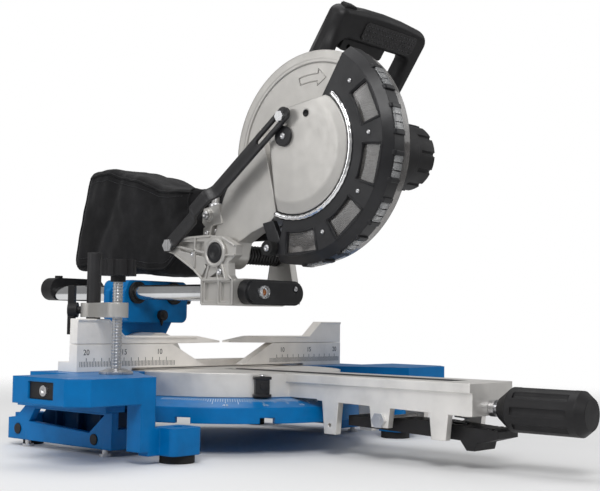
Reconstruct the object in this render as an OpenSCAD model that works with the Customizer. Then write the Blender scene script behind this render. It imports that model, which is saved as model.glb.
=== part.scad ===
// Sliding compound mitre saw with a 216 mm blade, raised head and dust bag.
// Millimetres, X right, Y back, Z up. The origin is on the mitre axis, at the bench.
// The fence face is the plane y = 0 and the blade turns in the plane x = 0.

/* [Table and base] */
// Height of the table above the bench
table_h = 82; // [76:1:90]
// Half the width over the two wings
base_half = 301; // [290:1:320]
// Reach of the wings in front of the fence
wing_front = 112; // [104:1:118]
// Thickness of the wings
wing_t = 25; // [22:1:28]
// Radius of the base ring that carries the mitre scale
ring_r = 165; // [160:1:168]
// Half the bolt spacing across the saw
bolt_x = 178; // [176:1:180]
// Half the bolt spacing front to back
bolt_y = 113; // [111:1:115]
// Radius of the bench bolt holes
bolt_r = 4.5; // [3.5:0.5:5.5]
// Radius of the large front foot pads
foot_r = 17; // [14:1:18]
// Thickness of the rubber feet
foot_t = 8; // [6:1:10]

/* [Fence] */
// Height of the fixed fence above the table
fence_h = 28; // [24:1:30]
// Half the length of the fixed fence
fence_half = 212; // [208:1:220]
// Thickness of the fence plates
fence_t = 12; // [8:1:12]
// Height of the low part of the sliding fences
sub_fence_low = 36.5; // [33:0.5:36.5]
// Height of the high part of the sliding fences
sub_fence_high = 54; // [46:1:54]

/* [Turntable] */
// Radius of the turntable
table_r = 133; // [128:1:133]
// Reach of the turntable arm
arm_reach = 353; // [345:1:365]
// Half the width of the turntable arm
arm_half = 38; // [34:1:38]
// Thickness of the arm's top flange
flange_t = 9; // [7:1:11]
// Radius of the mitre handle
handle_r = 21; // [18:1:23]
// Length of the mitre handle
handle_len = 92; // [80:1:100]

/* [Slide] */
// Radius of the slide rails
rail_r = 9; // [8:0.5:9]
// Sideways place of the near rail
rail_near = -20; // [-22:1:-18]
// Sideways place of the far rail
rail_far = 40; // [38:1:44]
// Height of the rails above the table
rail_up = 86; // [86:0.5:88]
// Rear end of the rails
rail_rear = 280; // [276:1:300]

/* [Saw head] */
// Blade radius
blade_r = 108; // [105:0.5:108]
// Blade plate thickness
blade_t = 2.6; // [1.8:0.1:3]
// Distance of the raised blade centre in front of the fence
blade_fwd = 134; // [133.5:0.5:136]
// Height of the raised blade centre above the table
blade_up = 236; // [235:0.5:238]
// Distance of the chop pivot in front of the fence
pivot_fwd = 25; // [24:0.5:26]
// Height of the chop pivot above the table
pivot_up = 129; // [128:0.5:130]
// Radius of the chop pivot shaft
pivot_r = 6.5; // [5.5:0.25:6.5]
// Radius of the motor housing
motor_r = 42; // [38:1:44]
// Far end of the motor
motor_end = 216; // [205:1:222]

/* [Handle] */
// Overall width of the D-shaped handle
grip_w = 165; // [155:1:170]
// Lean of the handle in degrees
grip_lean = 34; // [32:0.5:36]
// Height of the grip bar
grip_bar = 34; // [30:1:36]
// Thickness of the handle front to back
grip_t = 24; // [22:1:26]

/* [Lower guard] */
// Inner radius of the guard's rim
rim_r = 119.7; // [119.5:0.5:121]
// Radius of the guard's hub plate
hub_r = 68.5; // [66:0.5:69]
// Thickness of the link bar
link_t = 4; // [3:0.25:4]
// Width of the link bar
link_w = 15; // [12:1:16]

/* [Clamp] */
// Radius of the clamp post
post_r = 7.5; // [7:0.5:9]
// Height of the clamp post above the table
post_up = 124; // [118:1:124]
// Radius of the clamp screw
clamp_rod_r = 4.75; // [4:0.25:5.5]
// Radius of the clamp knob
clamp_knob_r = 18; // [15:1:18]

/* [Springs] */
// Wire of the head's return spring
coil_wire = 3.4; // [2.8:0.2:3.6]
// Curls of the head's return spring
coil_turns = 12; // [10:1:13]

/* [Dust bag] */
// Length of the bag
bag_len = 262; // [230:2:264]
// Width of the bag
bag_w = 100; // [80:2:100]

/* [Hidden] */
$fn = 64;
T = table_h;
gap = 0.3;
run = 0.05;
over = 1;

// Paint colours
blue = [0.02, 0.40, 0.70];
silver = [0.72, 0.71, 0.69];
alloy = [0.80, 0.81, 0.82];
black = [0.14, 0.13, 0.14];
steel = [0.70, 0.71, 0.73];
clear = [0.75, 0.80, 0.85, 0.5];

// Base
wing_low = T - wing_t;
wing_rear = -18;
wing_cut = 17;
seat_x = 235;
seat_y = 45;
post_x0 = 206;
post_x1 = 224;
inner_rib_x = 149;
ring_z0 = 33;
ring_z1 = T - 25;
ring_plate = 8;
ring_wall = 8;
ring_bevel = 8;
hub_outer = 30;
king_r = 9;
lug_x0 = 161;
lug_x1 = 200;
lug_y0 = -131;
lug_y1 = -98;
lug_top = 34;
rear_lug_r = 11.5;
rear_foot_r = 11;
beam_z0 = 44;
frame_x0 = 195;
frame_x1 = 203;
frame_z0 = 7;
frame_rear = 124;
frame_front = -46;
socket_y0 = -79;
socket_y1 = -42;
socket_z0 = T - 20;
socket_z1 = T - 4;
socket_deep = 26;

// Clamp
post_x = -table_r - 30;
post_y = 36;
clamp_x = -base_half + 102;
clamp_y = -45;
clamp_z0 = T + 55.5;
clamp_z1 = clamp_z0 + 15;
knob_low = T + 91;
clamp_dx = post_x - clamp_x;
clamp_dy = post_y - clamp_y;
clamp_turn = atan2(clamp_dy, clamp_dx);
clamp_span = norm([clamp_dx, clamp_dy]);

// Fence
fence_foot_t = 10;
fence_clear = 2.9;
fence_inner_low = 30;
fence_inner_top = 82;
tie_half = 128;
tie_y0 = 28;
tie_y1 = 44;
knob_x = fence_half - 27;
knob_z = T + 20;
knob_screw_r = 4;
fence_knob_r = 10.5;
sub_travel = 70;
sub_gap = 0.4;
sub_end = fence_half;
back_x0 = fence_half - 6;
back_x1 = knob_x - sub_travel - 15;
back_y = fence_t + 4;

// Turntable
disc_z0 = ring_z1 + gap;
web_z0 = T - 31;
web_t = 8;
kerf_x0 = -3;
kerf_x1 = 6;
arm_end = -arm_reach;
kerf_y0 = arm_end + 43;
kerf_y1 = -20;
insert_half = 16;
insert_t = 3;
barrel_r = 38;
barrel_y0 = 128;
barrel_y1 = 148;
bevel_bolt_r = 8;
bevel_lever_len = 72;
bevel_lever_turn = 5;
lever_y = arm_end + 106;
lever_z = T - 41;
lever_half = 18;
lever_pin_r = 4;
grip_z = T - 24;
grip_y0 = arm_end - 11;
grip_y1 = grip_y0 - handle_len;

// Slide and tilt
rail_z = T + rail_up;
rail_span = rail_far - rail_near;
cap_r = rail_r + 5.5;
cap_z = rail_z + 5;
cap_t = 20;
house_x0 = rail_near - 16;
house_x1 = rail_far + 24;
house_y0 = 130;
house_y1 = 172;
house_z0 = T + 50;
house_z1 = T + 101;
bush_r = rail_r + 3;
tilt_hub_r = 24;

// Carriage
cheek_x0 = -41.6;
cheek_x1 = -31;
far_x0 = 61;
far_x1 = 72;
boss_r = 15;
boss_y0 = -51;
boss_y1 = -3;
cover_y0 = -66;
cover_r = 14;
P = [-pivot_fwd, T + pivot_up];
A = [47, T + 139];

// Head
B = [-blade_fwd, T + blade_up];
G = B + [14, 15];
L = G + [-2, 20];
M = B + [29, 22];
upper_r = 111.4;
upper_wall = 2.2;
arm_x0 = -26;
upper_x0 = -7.5;
upper_x1 = 14;
upper_a0 = 60;
upper_a1 = 225;
arbor_r = 8;
gear_x1 = 60;
motor_x1 = 175;
guard_x0 = -34;
guard_x1 = -9;
shell_x1 = 4;
shell_t = 1.3;
guard_face = 3;
guard_a0 = -103;
guard_a1 = 58;
face_r0 = 58;
rim_t = 2;
rim_out = rim_r + rim_t;
slope_fall = 9;
slope_deep = 8;
rim_deep = guard_x1 - guard_x0;
shell_r = rim_r - 0.2;
pane_r0 = 84;
pane_t = 2;
plate_t = 4;
plate_x0 = guard_x0 - plate_t;
link_x0 = -46;
link_x1 = link_x0 + link_t;
window_count = 4;
window_first = 24.4;
window_step = 36.7;
window_half = 11.5;
window_r0 = 89;
window_r1 = 110.5;
notch_count = 6;
notch_first = 34;
notch_step = 23;
notch_half = 4.5;
plate_slope = 3;
plate_flat_r = 55;
bumper_at = B + [33.5, -104];
grip_x0 = 7;
grip_x1 = grip_x0 + grip_w;
grip_base = B + [23, 98];
grip_top = 78;
bar_low = grip_top - grip_bar;
leg_w = 20;
port_x = 35;
port_z = P[1] + 61;
port_r = 18;
bag_y0 = P[0] + 40;

// Shared shapes

module box(x0, x1, y0, y1, z0, z1) {
    translate([x0, y0, z0]) cube([x1 - x0, y1 - y0, z1 - z0]);
}

module along_x(x0, x1) {
    translate([x0, 0, 0]) rotate([90, 0, 90]) linear_extrude(x1 - x0) children();
}

module along_y(y0, y1) {
    translate([0, y1, 0]) rotate([90, 0, 0]) linear_extrude(y1 - y0) children();
}

module along_z(z0, z1) {
    translate([0, 0, z0]) linear_extrude(z1 - z0) children();
}

module rod_x(r, x0, x1, at) {
    along_x(x0, x1) translate(at) circle(r);
}

module rod_y(r, y0, y1, at) {
    along_y(y0, y1) translate(at) circle(r);
}

module rod_z(r, z0, z1, at) {
    along_z(z0, z1) translate(at) circle(r);
}

module both_sides() {
    children();
    mirror([1, 0, 0]) children();
}

// A rectangle with round corners
module soft_rect(x0, y0, x1, y1, r) {
    translate([x0 + r, y0]) square([x1 - x0 - 2 * r, y1 - y0]);
    translate([x0, y0 + r]) square([x1 - x0, y1 - y0 - 2 * r]);
    for (x = [x0 + r, x1 - r], y = [y0 + r, y1 - r]) translate([x, y]) circle(r);
}

// A bar with round ends along +X from the origin
module stadium(len, r) {
    translate([0, -r]) square([len, 2 * r]);
    circle(r);
    translate([len, 0]) circle(r);
}

// A six-sided head
module hex(r) {
    circle(r, $fn = 6);
}

// A pie slice in the side view: angles run from the front upwards
module wedge(at, r, a0, a1) {
    steps = ceil((a1 - a0) / 30);
    turn = (a1 - a0) / steps;
    rim = [for (i = [0:steps]) at + r * [-cos(a0 + turn * i), sin(a0 + turn * i)]];
    polygon(concat([at], rim));
}

// A ring slice in the side view
module ring_slice(at, r0, r1, a0, a1) {
    intersection() {
        difference() {
            translate(at) circle(r1);
            translate(at) circle(r0);
        }
        wedge(at, r1 * 1.4, a0, a1);
    }
}

// A fluted round knob outline
module fluted(r, count, flute) {
    difference() {
        circle(r);
        for (i = [0:count - 1]) rotate(i * 360 / count) translate([r + flute * 0.55, 0]) circle(flute);
    }
}

// A coil along +Z as one tube with straight ends
sides = 6;
curl_rings = 8;

function coil_path(r, wire, height, turns) = concat(
    [[r, -wire, 0]],
    [for (i = [0:turns * curl_rings])
        let (a = i * 360 / curl_rings, z = height * i / (turns * curl_rings))
        [r * cos(a), r * sin(a), z]],
    [[r, wire, height]]);

function unit(v) = v / norm(v);

function coil_ring(p, dir, r) =
    let (side = unit(cross(dir, [0, 0, 1])), up = cross(side, dir))
    [for (k = [0:sides - 1]) p + r * (cos(k * 360 / sides) * side + sin(k * 360 / sides) * up)];

module coil(r, wire, height, turns) {
    path = coil_path(r, wire, height, turns);
    n = len(path);
    dirs = [for (i = [0:n - 1]) unit(path[min(i + 1, n - 1)] - path[max(i - 1, 0)])];
    points = [for (i = [0:n - 1]) each coil_ring(path[i], dirs[i], wire / 2)];
    walls = [for (i = [0:n - 2], k = [0:sides - 1])
        let (a = i * sides + k, b = i * sides + (k + 1) % sides)
        each [[a, a + sides, b], [b, a + sides, b + sides]]];
    last = (n - 1) * sides;
    caps = [for (k = [1:sides - 2]) each [[0, k, k + 1], [last, last + k + 1, last + k]]];
    polyhedron(points, concat(walls, caps));
    near = curl_rings - 1;
    spans = [for (i = [0:n - 1 - near], j = [i + near:min(i + near + 2, n - 1)]) norm(path[i] - path[j])];
    echo(least_coil_gap = min(spans) - wire);
}

// Base

module wing_outline() {
    polygon([[-base_half, wing_rear], [-base_half, -wing_front + wing_cut],
        [-base_half + wing_cut, -wing_front], [-post_x0, -wing_front], [-168, -46], [-148, -20], [-120, -10],
        [-120, seat_y], [-seat_x, seat_y], [-seat_x, wing_rear]]);
}

module wing_pocket() {
    translate([-base_half + socket_deep + 12, -wing_front + 10])
        square([base_half - socket_deep - post_x1 - 18, wing_front + wing_rear - 18]);
}

module base_wing() {
    difference() {
        union() {
            along_z(wing_low, T) wing_outline();
            box(-post_x1, -post_x0, -wing_front, -wing_front + 20, 12, wing_low);
            along_z(foot_t, lug_top) soft_rect(-lug_x1, lug_y0, -lug_x0, lug_y1, 7);
            box(-post_x0 - 8, -lug_x1 + 8, -wing_front, lug_y1, foot_t, lug_top);
            box(-inner_rib_x - 3, -inner_rib_x + 3, frame_front, seat_y, 14, wing_low + over);
            box(-frame_x1 - 8, -frame_x0 + 8, frame_front, 98, beam_z0, wing_low + over);
            rod_z(post_r + 6, T - over, T + 7, [post_x, post_y]);
        }
        rod_z(table_r + 1.5, 0, T + over, [0, 0]);
        along_z(0, T - 6) wing_pocket();
        box(-base_half - over, -base_half + socket_deep, socket_y0, socket_y1, socket_z0, socket_z1);
        rod_z(bolt_r, 0, lug_top + over, [-bolt_x, -bolt_y]);
        rod_z(post_r + run, wing_low - over, T + 20, [post_x, post_y]);
    }
}

module base_ring() {
    difference() {
        union() {
            rod_z(ring_r, ring_z0, ring_z1 - ring_bevel, [0, 0]);
            translate([0, 0, ring_z1 - ring_bevel])
                rotate_extrude() polygon([[0, 0], [ring_r, 0], [table_r + 2, ring_bevel], [0, ring_bevel]]);
        }
        difference() {
            rod_z(ring_r - ring_wall, 0, ring_z1 - ring_plate, [0, 0]);
            rod_z(hub_outer, 0, ring_z1, [0, 0]);
        }
        rod_z(king_r + run, 0, ring_z1 + over, [0, 0]);
        for (a = [-60, -30, 30, 60])
            rotate(a - 90) translate([ring_r, 0, ring_z0]) cube([30, 16, 12], center = true);
        both_sides() rod_z(post_r + 1, 0, ring_z1 + over, [post_x, post_y]);
    }
}

module base_casting() {
    color(blue) {
        both_sides() base_wing();
        base_ring();
    }
}

module side_frame() {
    difference() {
        union() {
            along_x(-frame_x1, -frame_x0) polygon([[frame_front, beam_z0], [94, beam_z0], [110, T - 51],
                [frame_rear, T - 53], [frame_rear, frame_z0], [frame_front, frame_z0]]);
            box(-frame_x0 - over, -160, frame_front, frame_front + 16, frame_z0, 27);
            rod_z(rear_lug_r, foot_t, lug_top, [-bolt_x, bolt_y]);
            box(-frame_x0 - over, -bolt_x, bolt_y - 9, bolt_y + 9, foot_t, lug_top);
        }
        along_x(-frame_x1 - over, -frame_x0 + over)
            polygon([[-34, beam_z0 - 3], [78, beam_z0 - 3], [88, T - 55], [-11, T - 60]]);
        rod_z(bolt_r, 0, lug_top + over, [-bolt_x, bolt_y]);
        for (y = level_y) rod_z(level_r + run, frame_z0 - over, frame_z0 + level_deep, [-level_x, y]);
        for (p = plug_at) rod_x(plug_r, -frame_x1 - over, -frame_x1 + 2, p);
    }
}

level_x = 199;
level_y = [-32, 94];
level_r = 3;
level_deep = 9;
plug_r = 5.5;
plug_at = [[107, T - 64], [-19, T - 66]];

module side_frame_left() {
    color(blue) side_frame();
}

module side_frame_right() {
    color(blue) mirror([1, 0, 0]) side_frame();
}

module rubber_feet() {
    color(black) both_sides() difference() {
        union() {
            rod_z(foot_r, 0, foot_t, [-bolt_x, -bolt_y]);
            rod_z(rear_foot_r, 0, foot_t, [-bolt_x, bolt_y]);
        }
        for (y = [-bolt_y, bolt_y]) rod_z(bolt_r, -over, foot_t + over, [-bolt_x, y]);
    }
}

module levelling_feet() {
    color(steel) both_sides() for (y = level_y) {
        rod_z(level_r, 2, frame_z0 + level_deep - over, [-level_x, y]);
        rod_z(2 * level_r, 0, 3, [-level_x, y]);
    }
}

module frame_plugs() {
    color(black) both_sides() for (p = plug_at) rod_x(plug_r - run, -frame_x1 - over, -frame_x1 + 2, p);
}

module socket_inserts() {
    color(black) both_sides() difference() {
        box(-base_half + 2, -base_half + socket_deep, socket_y0, socket_y1, socket_z0, socket_z1);
        rod_x(insert_screw_r, -base_half, -base_half + 20, insert_screw_at);
    }
}

insert_screw_r = 2.5;
insert_screw_at = [socket_y0 + 15, socket_z0 + 8];

module socket_screws() {
    color(steel) both_sides() {
        rod_x(insert_screw_r, -base_half + 2 - over, -base_half + 18, insert_screw_at);
        difference() {
            rod_x(2 * insert_screw_r, -base_half, -base_half + 2, insert_screw_at);
            along_x(-base_half - over, -base_half + over) translate(insert_screw_at) hex(insert_screw_r);
        }
    }
}

// Fence

module fence_half_plate() {
    along_y(0, fence_t) polygon([[-fence_half, T], [-table_r - 6, T], [-table_r - 6, T + fence_clear],
        [-fence_inner_low, T + fence_clear], [-fence_inner_top, T + fence_h], [-fence_half, T + fence_h]]);
    box(-fence_half, -fence_half + 12, fence_t - over, 30, T, T + fence_foot_t);
    box(-table_r - 20, -table_r - 6, fence_t - over, 24, T, T + fence_foot_t);
    box(-tie_half, -tie_half + 20, fence_t - over, tie_y1, T + over, T + fence_foot_t - over);
}

module fence() {
    color(alloy) difference() {
        union() {
            both_sides() fence_half_plate();
            box(-tie_half, tie_half, tie_y0, tie_y1, T + over, T + fence_foot_t - over);
        }
        for (x = [-knob_x, knob_x]) rod_y(knob_screw_r + run, 3, fence_t + over, [x, knob_z]);
    }
}

module upper_fence() {
    difference() {
        union() {
            along_y(0.2, fence_t) polygon([[-sub_end, T + fence_h + sub_gap], [-60, T + fence_h + sub_gap],
                [-8, T + fence_h + 1], [-8, T + fence_h + 3], [-44, T + sub_fence_low],
                [-150, T + sub_fence_low], [-172, T + sub_fence_high], [-sub_end, T + sub_fence_high]]);
            box(-back_x0, -back_x1, fence_t + sub_gap, back_y, T + 13, T + sub_fence_low - 2);
            box(-back_x0, -back_x1, fence_t - 2, back_y, T + fence_h + sub_gap, T + sub_fence_low - 2);
        }
        along_y(fence_t, fence_t + 6) translate([-knob_x, knob_z])
            stadium(sub_travel + 2, knob_screw_r + sub_gap);
    }
}

module upper_fence_left() {
    color(alloy) upper_fence();
}

module upper_fence_right() {
    color(alloy) mirror([1, 0, 0]) upper_fence();
}

module fence_knob() {
    rod_y(knob_screw_r, 4, fence_t + 8, [-knob_x, knob_z]);
    along_y(back_y + over, post_y - post_r - 0.5) translate([-knob_x, knob_z]) fluted(fence_knob_r, 8, 3);
}

module fence_knob_left() {
    color(black) fence_knob();
}

module fence_knob_right() {
    color(black) mirror([1, 0, 0]) fence_knob();
}

// Work clamp

module clamp_post() {
    color(black) difference() {
        rod_z(post_r, T - 19, T + post_up, [post_x, post_y]);
        rod_z(post_r - 3, T + post_up - 8, T + post_up + over, [post_x, post_y]);
    }
}

module clamp_arm() {
    color(silver) difference() {
        along_z(clamp_z0, clamp_z1) {
            translate([post_x, post_y]) circle(post_r + 6);
            translate([clamp_x, clamp_y]) circle(clamp_rod_r + 6);
            translate([clamp_x, clamp_y]) rotate(clamp_turn) translate([0, -9]) square([clamp_span, 18]);
        }
        rod_z(post_r + run, clamp_z0 - over, clamp_z1 + over, [post_x, post_y]);
        rod_z(clamp_rod_r + run, clamp_z0 - over, clamp_z1 + over, [clamp_x, clamp_y]);
        clamp_lever_axis() translate([0, 0, post_r]) cylinder(r = lever_screw_r + run, h = 10);
    }
}

lever_screw_r = 4;
lever_bar = 52;
lever_heading = 130;

module clamp_lever_axis() {
    translate([post_x, post_y, (clamp_z0 + clamp_z1) / 2])
        rotate([0, 0, lever_heading]) rotate([0, 90, 0]) children();
}

module clamp_lever() {
    color(black) clamp_lever_axis() {
        translate([0, 0, post_r + 1]) cylinder(r = lever_screw_r, h = 14);
        translate([0, 0, post_r + 9]) cylinder(r = 2 * lever_screw_r, h = 10);
        translate([-lever_bar / 2, -5, post_r + 12]) cube([lever_bar, 10, 7]);
    }
}

module clamp_screw() {
    color(steel) rod_z(clamp_rod_r, T + 4, knob_low + 2, [clamp_x, clamp_y]);
}

module clamp_knob() {
    color(black) difference() {
        union() {
            rod_z(7.5, knob_low, knob_low + 7, [clamp_x, clamp_y]);
            along_z(knob_low + 6, knob_low + 22) translate([clamp_x, clamp_y]) fluted(clamp_knob_r, 8, 5);
        }
        rod_z(clamp_rod_r, knob_low - over, knob_low + 2, [clamp_x, clamp_y]);
    }
}

module clamp_pad() {
    color(black) translate([clamp_x, clamp_y, T + gap]) rotate_extrude()
        polygon([[0, 0], [17, 0], [17, 2], [9, 5], [clamp_rod_r, 5], [clamp_rod_r, 4 - gap], [0, 4 - gap]]);
}

// Turntable

module arm_lug(y0, y1, drop) {
    both_sides() along_x(-arm_half + 4, -arm_half + 12) polygon([[y0 - 4, web_z0 + 14], [y1 + 4, web_z0 + 14],
        [y1, T - drop], [y0, T - drop]]);
}

module turntable() {
    color(alloy) difference() {
        union() {
            difference() {
                rod_z(table_r, disc_z0, T, [0, 0]);
                difference() {
                    rod_z(table_r - 9, disc_z0 - over, T - flange_t, [0, 0]);
                    rod_z(hub_outer, disc_z0 - over, T, [0, 0]);
                }
            }
            box(-arm_half, arm_half, arm_end, -table_r + 20, T - flange_t, T);
            both_sides() along_x(-arm_half + 4, -arm_half + 4 + web_t) polygon([[arm_end + 3, web_z0],
                [arm_end + 3, T - flange_t + over], [-table_r + 16, T - flange_t + over],
                [-table_r + 16, disc_z0], [-ring_r - 2, disc_z0], [-ring_r - 2, web_z0 + 5]]);
            box(-arm_half + 4, arm_half - 4, arm_end, arm_end + 10, web_z0, T - flange_t + over);
            arm_lug(-192, -177, 59);
            arm_lug(lever_y - 10, lever_y + 10, 48);
            arm_lug(arm_end + 29, arm_end + 45, 55);
            intersection() {
                rod_y(barrel_r, barrel_y0 - 20, barrel_y1, [0, T]);
                box(-barrel_r, barrel_r, barrel_y0 - 20, barrel_y1, disc_z0, T + barrel_r);
            }
        }
        rod_y(bevel_bolt_r + run, 100, barrel_y1 + over, [0, T]);
        rod_z(king_r + run, disc_z0 - over, T - flange_t, [0, 0]);
        box(kerf_x0 - 3, kerf_x1 + 3, kerf_y0, kerf_y1, 0, T + over);
        box(-insert_half - gap, insert_half + gap, kerf_y0 - 8, kerf_y1 + 8, T - insert_t, T + over);
        rod_x(lever_pin_r + run, -arm_half, arm_half, [lever_y, lever_z]);
        rod_y(rod_hole_r + run, arm_end - over, arm_end + 12, [0, grip_z]);
        rod_x(2, -arm_half, arm_half, [-184, T - 50]);
    }
}

rod_hole_r = 5;

module kerf_insert() {
    color(black) {
        box(-insert_half, kerf_x0, kerf_y0 - 7, kerf_y1 + 7, T - insert_t + 0.02, T - 0.1);
        box(kerf_x1, insert_half, kerf_y0 - 7, kerf_y1 + 7, T - insert_t + 0.02, T - 0.1);
    }
}

module mitre_pointer() {
    color(black) rotate(-29) {
        box(-7, 7, -table_r - 6, -table_r, disc_z0 + 3, T - 8);
        along_y(-table_r - 8, -table_r - 6) polygon([[-7, disc_z0 + 6], [7, disc_z0 + 6], [0, disc_z0 + 1]]);
        rod_y(3.5, -table_r - 9, -table_r - 5, [0, T - 13]);
    }
}

module pivot_bolt() {
    color(steel) {
        rod_z(king_r, ring_z0 - 6, T - flange_t - over, [0, 0]);
        along_z(ring_z0 - 10, ring_z0 - 0.1) hex(17);
    }
}

module lever_bolt() {
    color(steel) {
        rod_x(lever_pin_r, -arm_half, arm_half - 1, [lever_y, lever_z]);
        along_x(-arm_half + 0.5, -arm_half + 4) translate([lever_y, lever_z]) hex(8);
        along_x(arm_half - 4, arm_half) translate([lever_y, lever_z]) hex(8);
    }
}

module mitre_rod() {
    color(steel) {
        rod_y(rod_hole_r, arm_end - 22, arm_end + 10, [0, grip_z]);
        rod_y(rod_hole_r + 3, arm_end - 6, arm_end - gap, [0, grip_z]);
    }
}

module mitre_handle() {
    color(black) {
        difference() {
            union() {
                translate([0, grip_y0, grip_z]) rotate([90, 0, 0]) rotate_extrude()
                    polygon([[0, 0], [handle_r * 0.5, 0], [handle_r, 14], [handle_r, 20], [0, 20]]);
                along_y(grip_y1 + 15, arm_end - 30) translate([0, grip_z]) fluted(handle_r, 8, 5);
                translate([0, grip_y1 + 16, grip_z]) rotate([90, 0, 0]) rotate_extrude()
                    polygon([[0, 0], [handle_r, 0], [handle_r, 8], [handle_r * 0.7, 16], [0, 16]]);
            }
            rod_y(rod_hole_r, arm_end - 22, arm_end, [0, grip_z]);
        }
    }
}

module detent_lever() {
    color(black) {
        difference() {
            along_x(-lever_half, lever_half) polygon([[lever_y + 51, T - 40], [lever_y + 51, T - 50],
                [arm_end + 23, T - 55], [arm_end + 16, T - 64], [arm_end + 7, T - 64], [arm_end + 5, T - 57],
                [arm_end - 18, T - 51], [arm_end - 18, T - 44], [arm_end + 53, T - 39]]);
            rod_x(lever_pin_r + run, -lever_half - over, lever_half + over, [lever_y, lever_z]);
            rod_z(9, T - 42, T, [0, spring_y]);
        }
        for (y = [arm_end - 16:6:arm_end + 8]) box(-lever_half + 2, lever_half - 2, y, y + 3, T - 46, T - 42);
    }
}

spring_y = arm_end + 33;
spring_low = T - 42 + 0.9;
spring_high = T - flange_t - 1;

module detent_spring() {
    color(steel) translate([0, spring_y, spring_low]) coil(6.5, 1.6, spring_high - spring_low, 6);
}

module bevel_bolt() {
    color(steel) {
        rod_y(bevel_bolt_r, 102, house_y1 + 22, [0, T]);
        along_y(house_y1 + 22, house_y1 + 30) translate([0, T]) hex(13);
    }
}

module bevel_lever() {
    color(black) difference() {
        union() {
            rod_y(15, house_y1 + 1, house_y1 + 18, [0, T]);
            along_y(house_y1 + 4, house_y1 + 15) translate([0, T]) rotate(-bevel_lever_turn)
                stadium(bevel_lever_len, 7);
            rod_y(11, house_y1 + 2, house_y1 + 17, [bevel_lever_len * cos(bevel_lever_turn),
                T - bevel_lever_len * sin(bevel_lever_turn)]);
        }
        rod_y(bevel_bolt_r + run, house_y1, house_y1 + 20, [0, T]);
    }
}

// Tilt arm

module tilt_arm() {
    color(blue) difference() {
        union() {
            along_y(house_y0, house_y1) soft_rect(house_x0, house_z0, house_x1, house_z1, 9);
            rod_y(tilt_hub_r, barrel_y1 + gap, house_y1, [0, T]);
            along_y(barrel_y1 + gap, house_y1) polygon([[-tilt_hub_r, T], [house_x0 + 6, house_z0 + 5],
                [house_x1 - 6, house_z0 + 5], [tilt_hub_r, T]]);
            for (y = [house_y0, house_y0 + 28]) along_y(y, y + 8) polygon([[house_x0, house_z0 + 10],
                [house_x0 - 3, house_z0 + 14], [house_x0 - 3, house_z1 - 14], [house_x0, house_z1 - 10]]);
        }
        for (x = [rail_near, rail_far]) rod_y(bush_r, house_y0 - over, house_y1 + over, [x, rail_z]);
        rod_y(bevel_bolt_r + run, barrel_y1, house_y1 + over, [0, T]);
        box(house_x0 + 8, house_x1 - 8, house_y0 + 22, house_y1 - 8, T + 20, house_z0 + 14);
        rod_x(lock_screw_r + run, rail_far, house_x1 + over, [lock_y, rail_z]);
        rod_y(3, house_y0 - over, house_y0 + 12, pointer_at);
    }
}

lock_screw_r = 4;
lock_y = (house_y0 + house_y1) / 2;
pointer_at = [20, house_z0 + 9];

module rail_bushes() {
    color(black) for (x = [rail_near, rail_far], side = [0, 1]) {
        y0 = side == 0 ? house_y0 - 4 : house_y1 - 16;
        y1 = side == 0 ? house_y0 + 16 : house_y1 + 4;
        flange = side == 0 ? house_y0 - 4 : house_y1;
        difference() {
            union() {
                rod_y(bush_r, y0, y1, [x, rail_z]);
                rod_y(bush_r + 1.5, flange, flange + 4, [x, rail_z]);
            }
            rod_y(rail_r + run, y0 - over, y1 + over, [x, rail_z]);
        }
    }
}

module bevel_pointer() {
    color(black) {
        rod_y(6.5, house_y0 - 6, house_y0, pointer_at);
        rod_y(2.9, house_y0 - 7.5, house_y0 + 10, pointer_at);
        along_y(house_y0 - 3, house_y0 - 0.1) translate(pointer_at) polygon([[-4, 0], [4, 0], [0, -13]]);
    }
}

module slide_lock_knob() {
    color(black) {
        rod_x(lock_screw_r, rail_far + rail_r + gap, house_x1 + 8, [lock_y, rail_z]);
        along_x(house_x1 + 3, house_x1 + 20) translate([lock_y, rail_z]) fluted(13, 8, 4);
    }
}

// Carriage

module slide_rails() {
    color(steel) for (x = [rail_near, rail_far]) rod_y(rail_r, boss_y0, rail_rear, [x, rail_z]);
}

module rear_end_cap() {
    color(black) {
        along_y(rail_rear, rail_rear + cap_t) translate([rail_near, cap_z]) stadium(rail_span, cap_r);
        rod_z(5, cap_z + cap_r - 1, cap_z + cap_r + 3, [rail_near + 6, rail_rear + cap_t / 2]);
    }
}

module front_cover() {
    color(black) difference() {
        union() {
            along_y(cover_y0 + 3, boss_y0) translate([rail_near, rail_z]) stadium(rail_span + 8, cover_r);
            along_y(cover_y0, cover_y0 + 4) translate([rail_near, rail_z])
                stadium(rail_span + 8, cover_r - 2);
        }
        rod_y(laser_r + run, cover_y0 - over, cover_y0 + 12, laser_at);
        rod_y(3, cover_y0 - over, cover_y0 + 1.5, [rail_far + 6, rail_z + 3]);
    }
}

laser_r = 5.5;
laser_at = [rail_near + 11, rail_z];

module laser_module() {
    color(steel) difference() {
        rod_y(laser_r, cover_y0 - 2, cover_y0 + 11, laser_at);
        rod_y(laser_r - 1.5, cover_y0 - 3, cover_y0 + 1, laser_at);
    }
}

module cheek_outline() {
    polygon([[boss_y0, rail_z - boss_r], [boss_y1, rail_z - boss_r], [boss_y1, rail_z + 14],
        P + [34, -18], A + [-6, -11], A + [7, -7], A + [8, 1], A + [5, 8], P + [10, 20], P + [-9, 18],
        [boss_y0 - 4, P[1] + 8], [boss_y0 - 4, P[1] - 3], [boss_y0 + 7, P[1] - 11],
        [boss_y0 + 6, rail_z + 18], [boss_y0, rail_z + 12]]);
}

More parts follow.
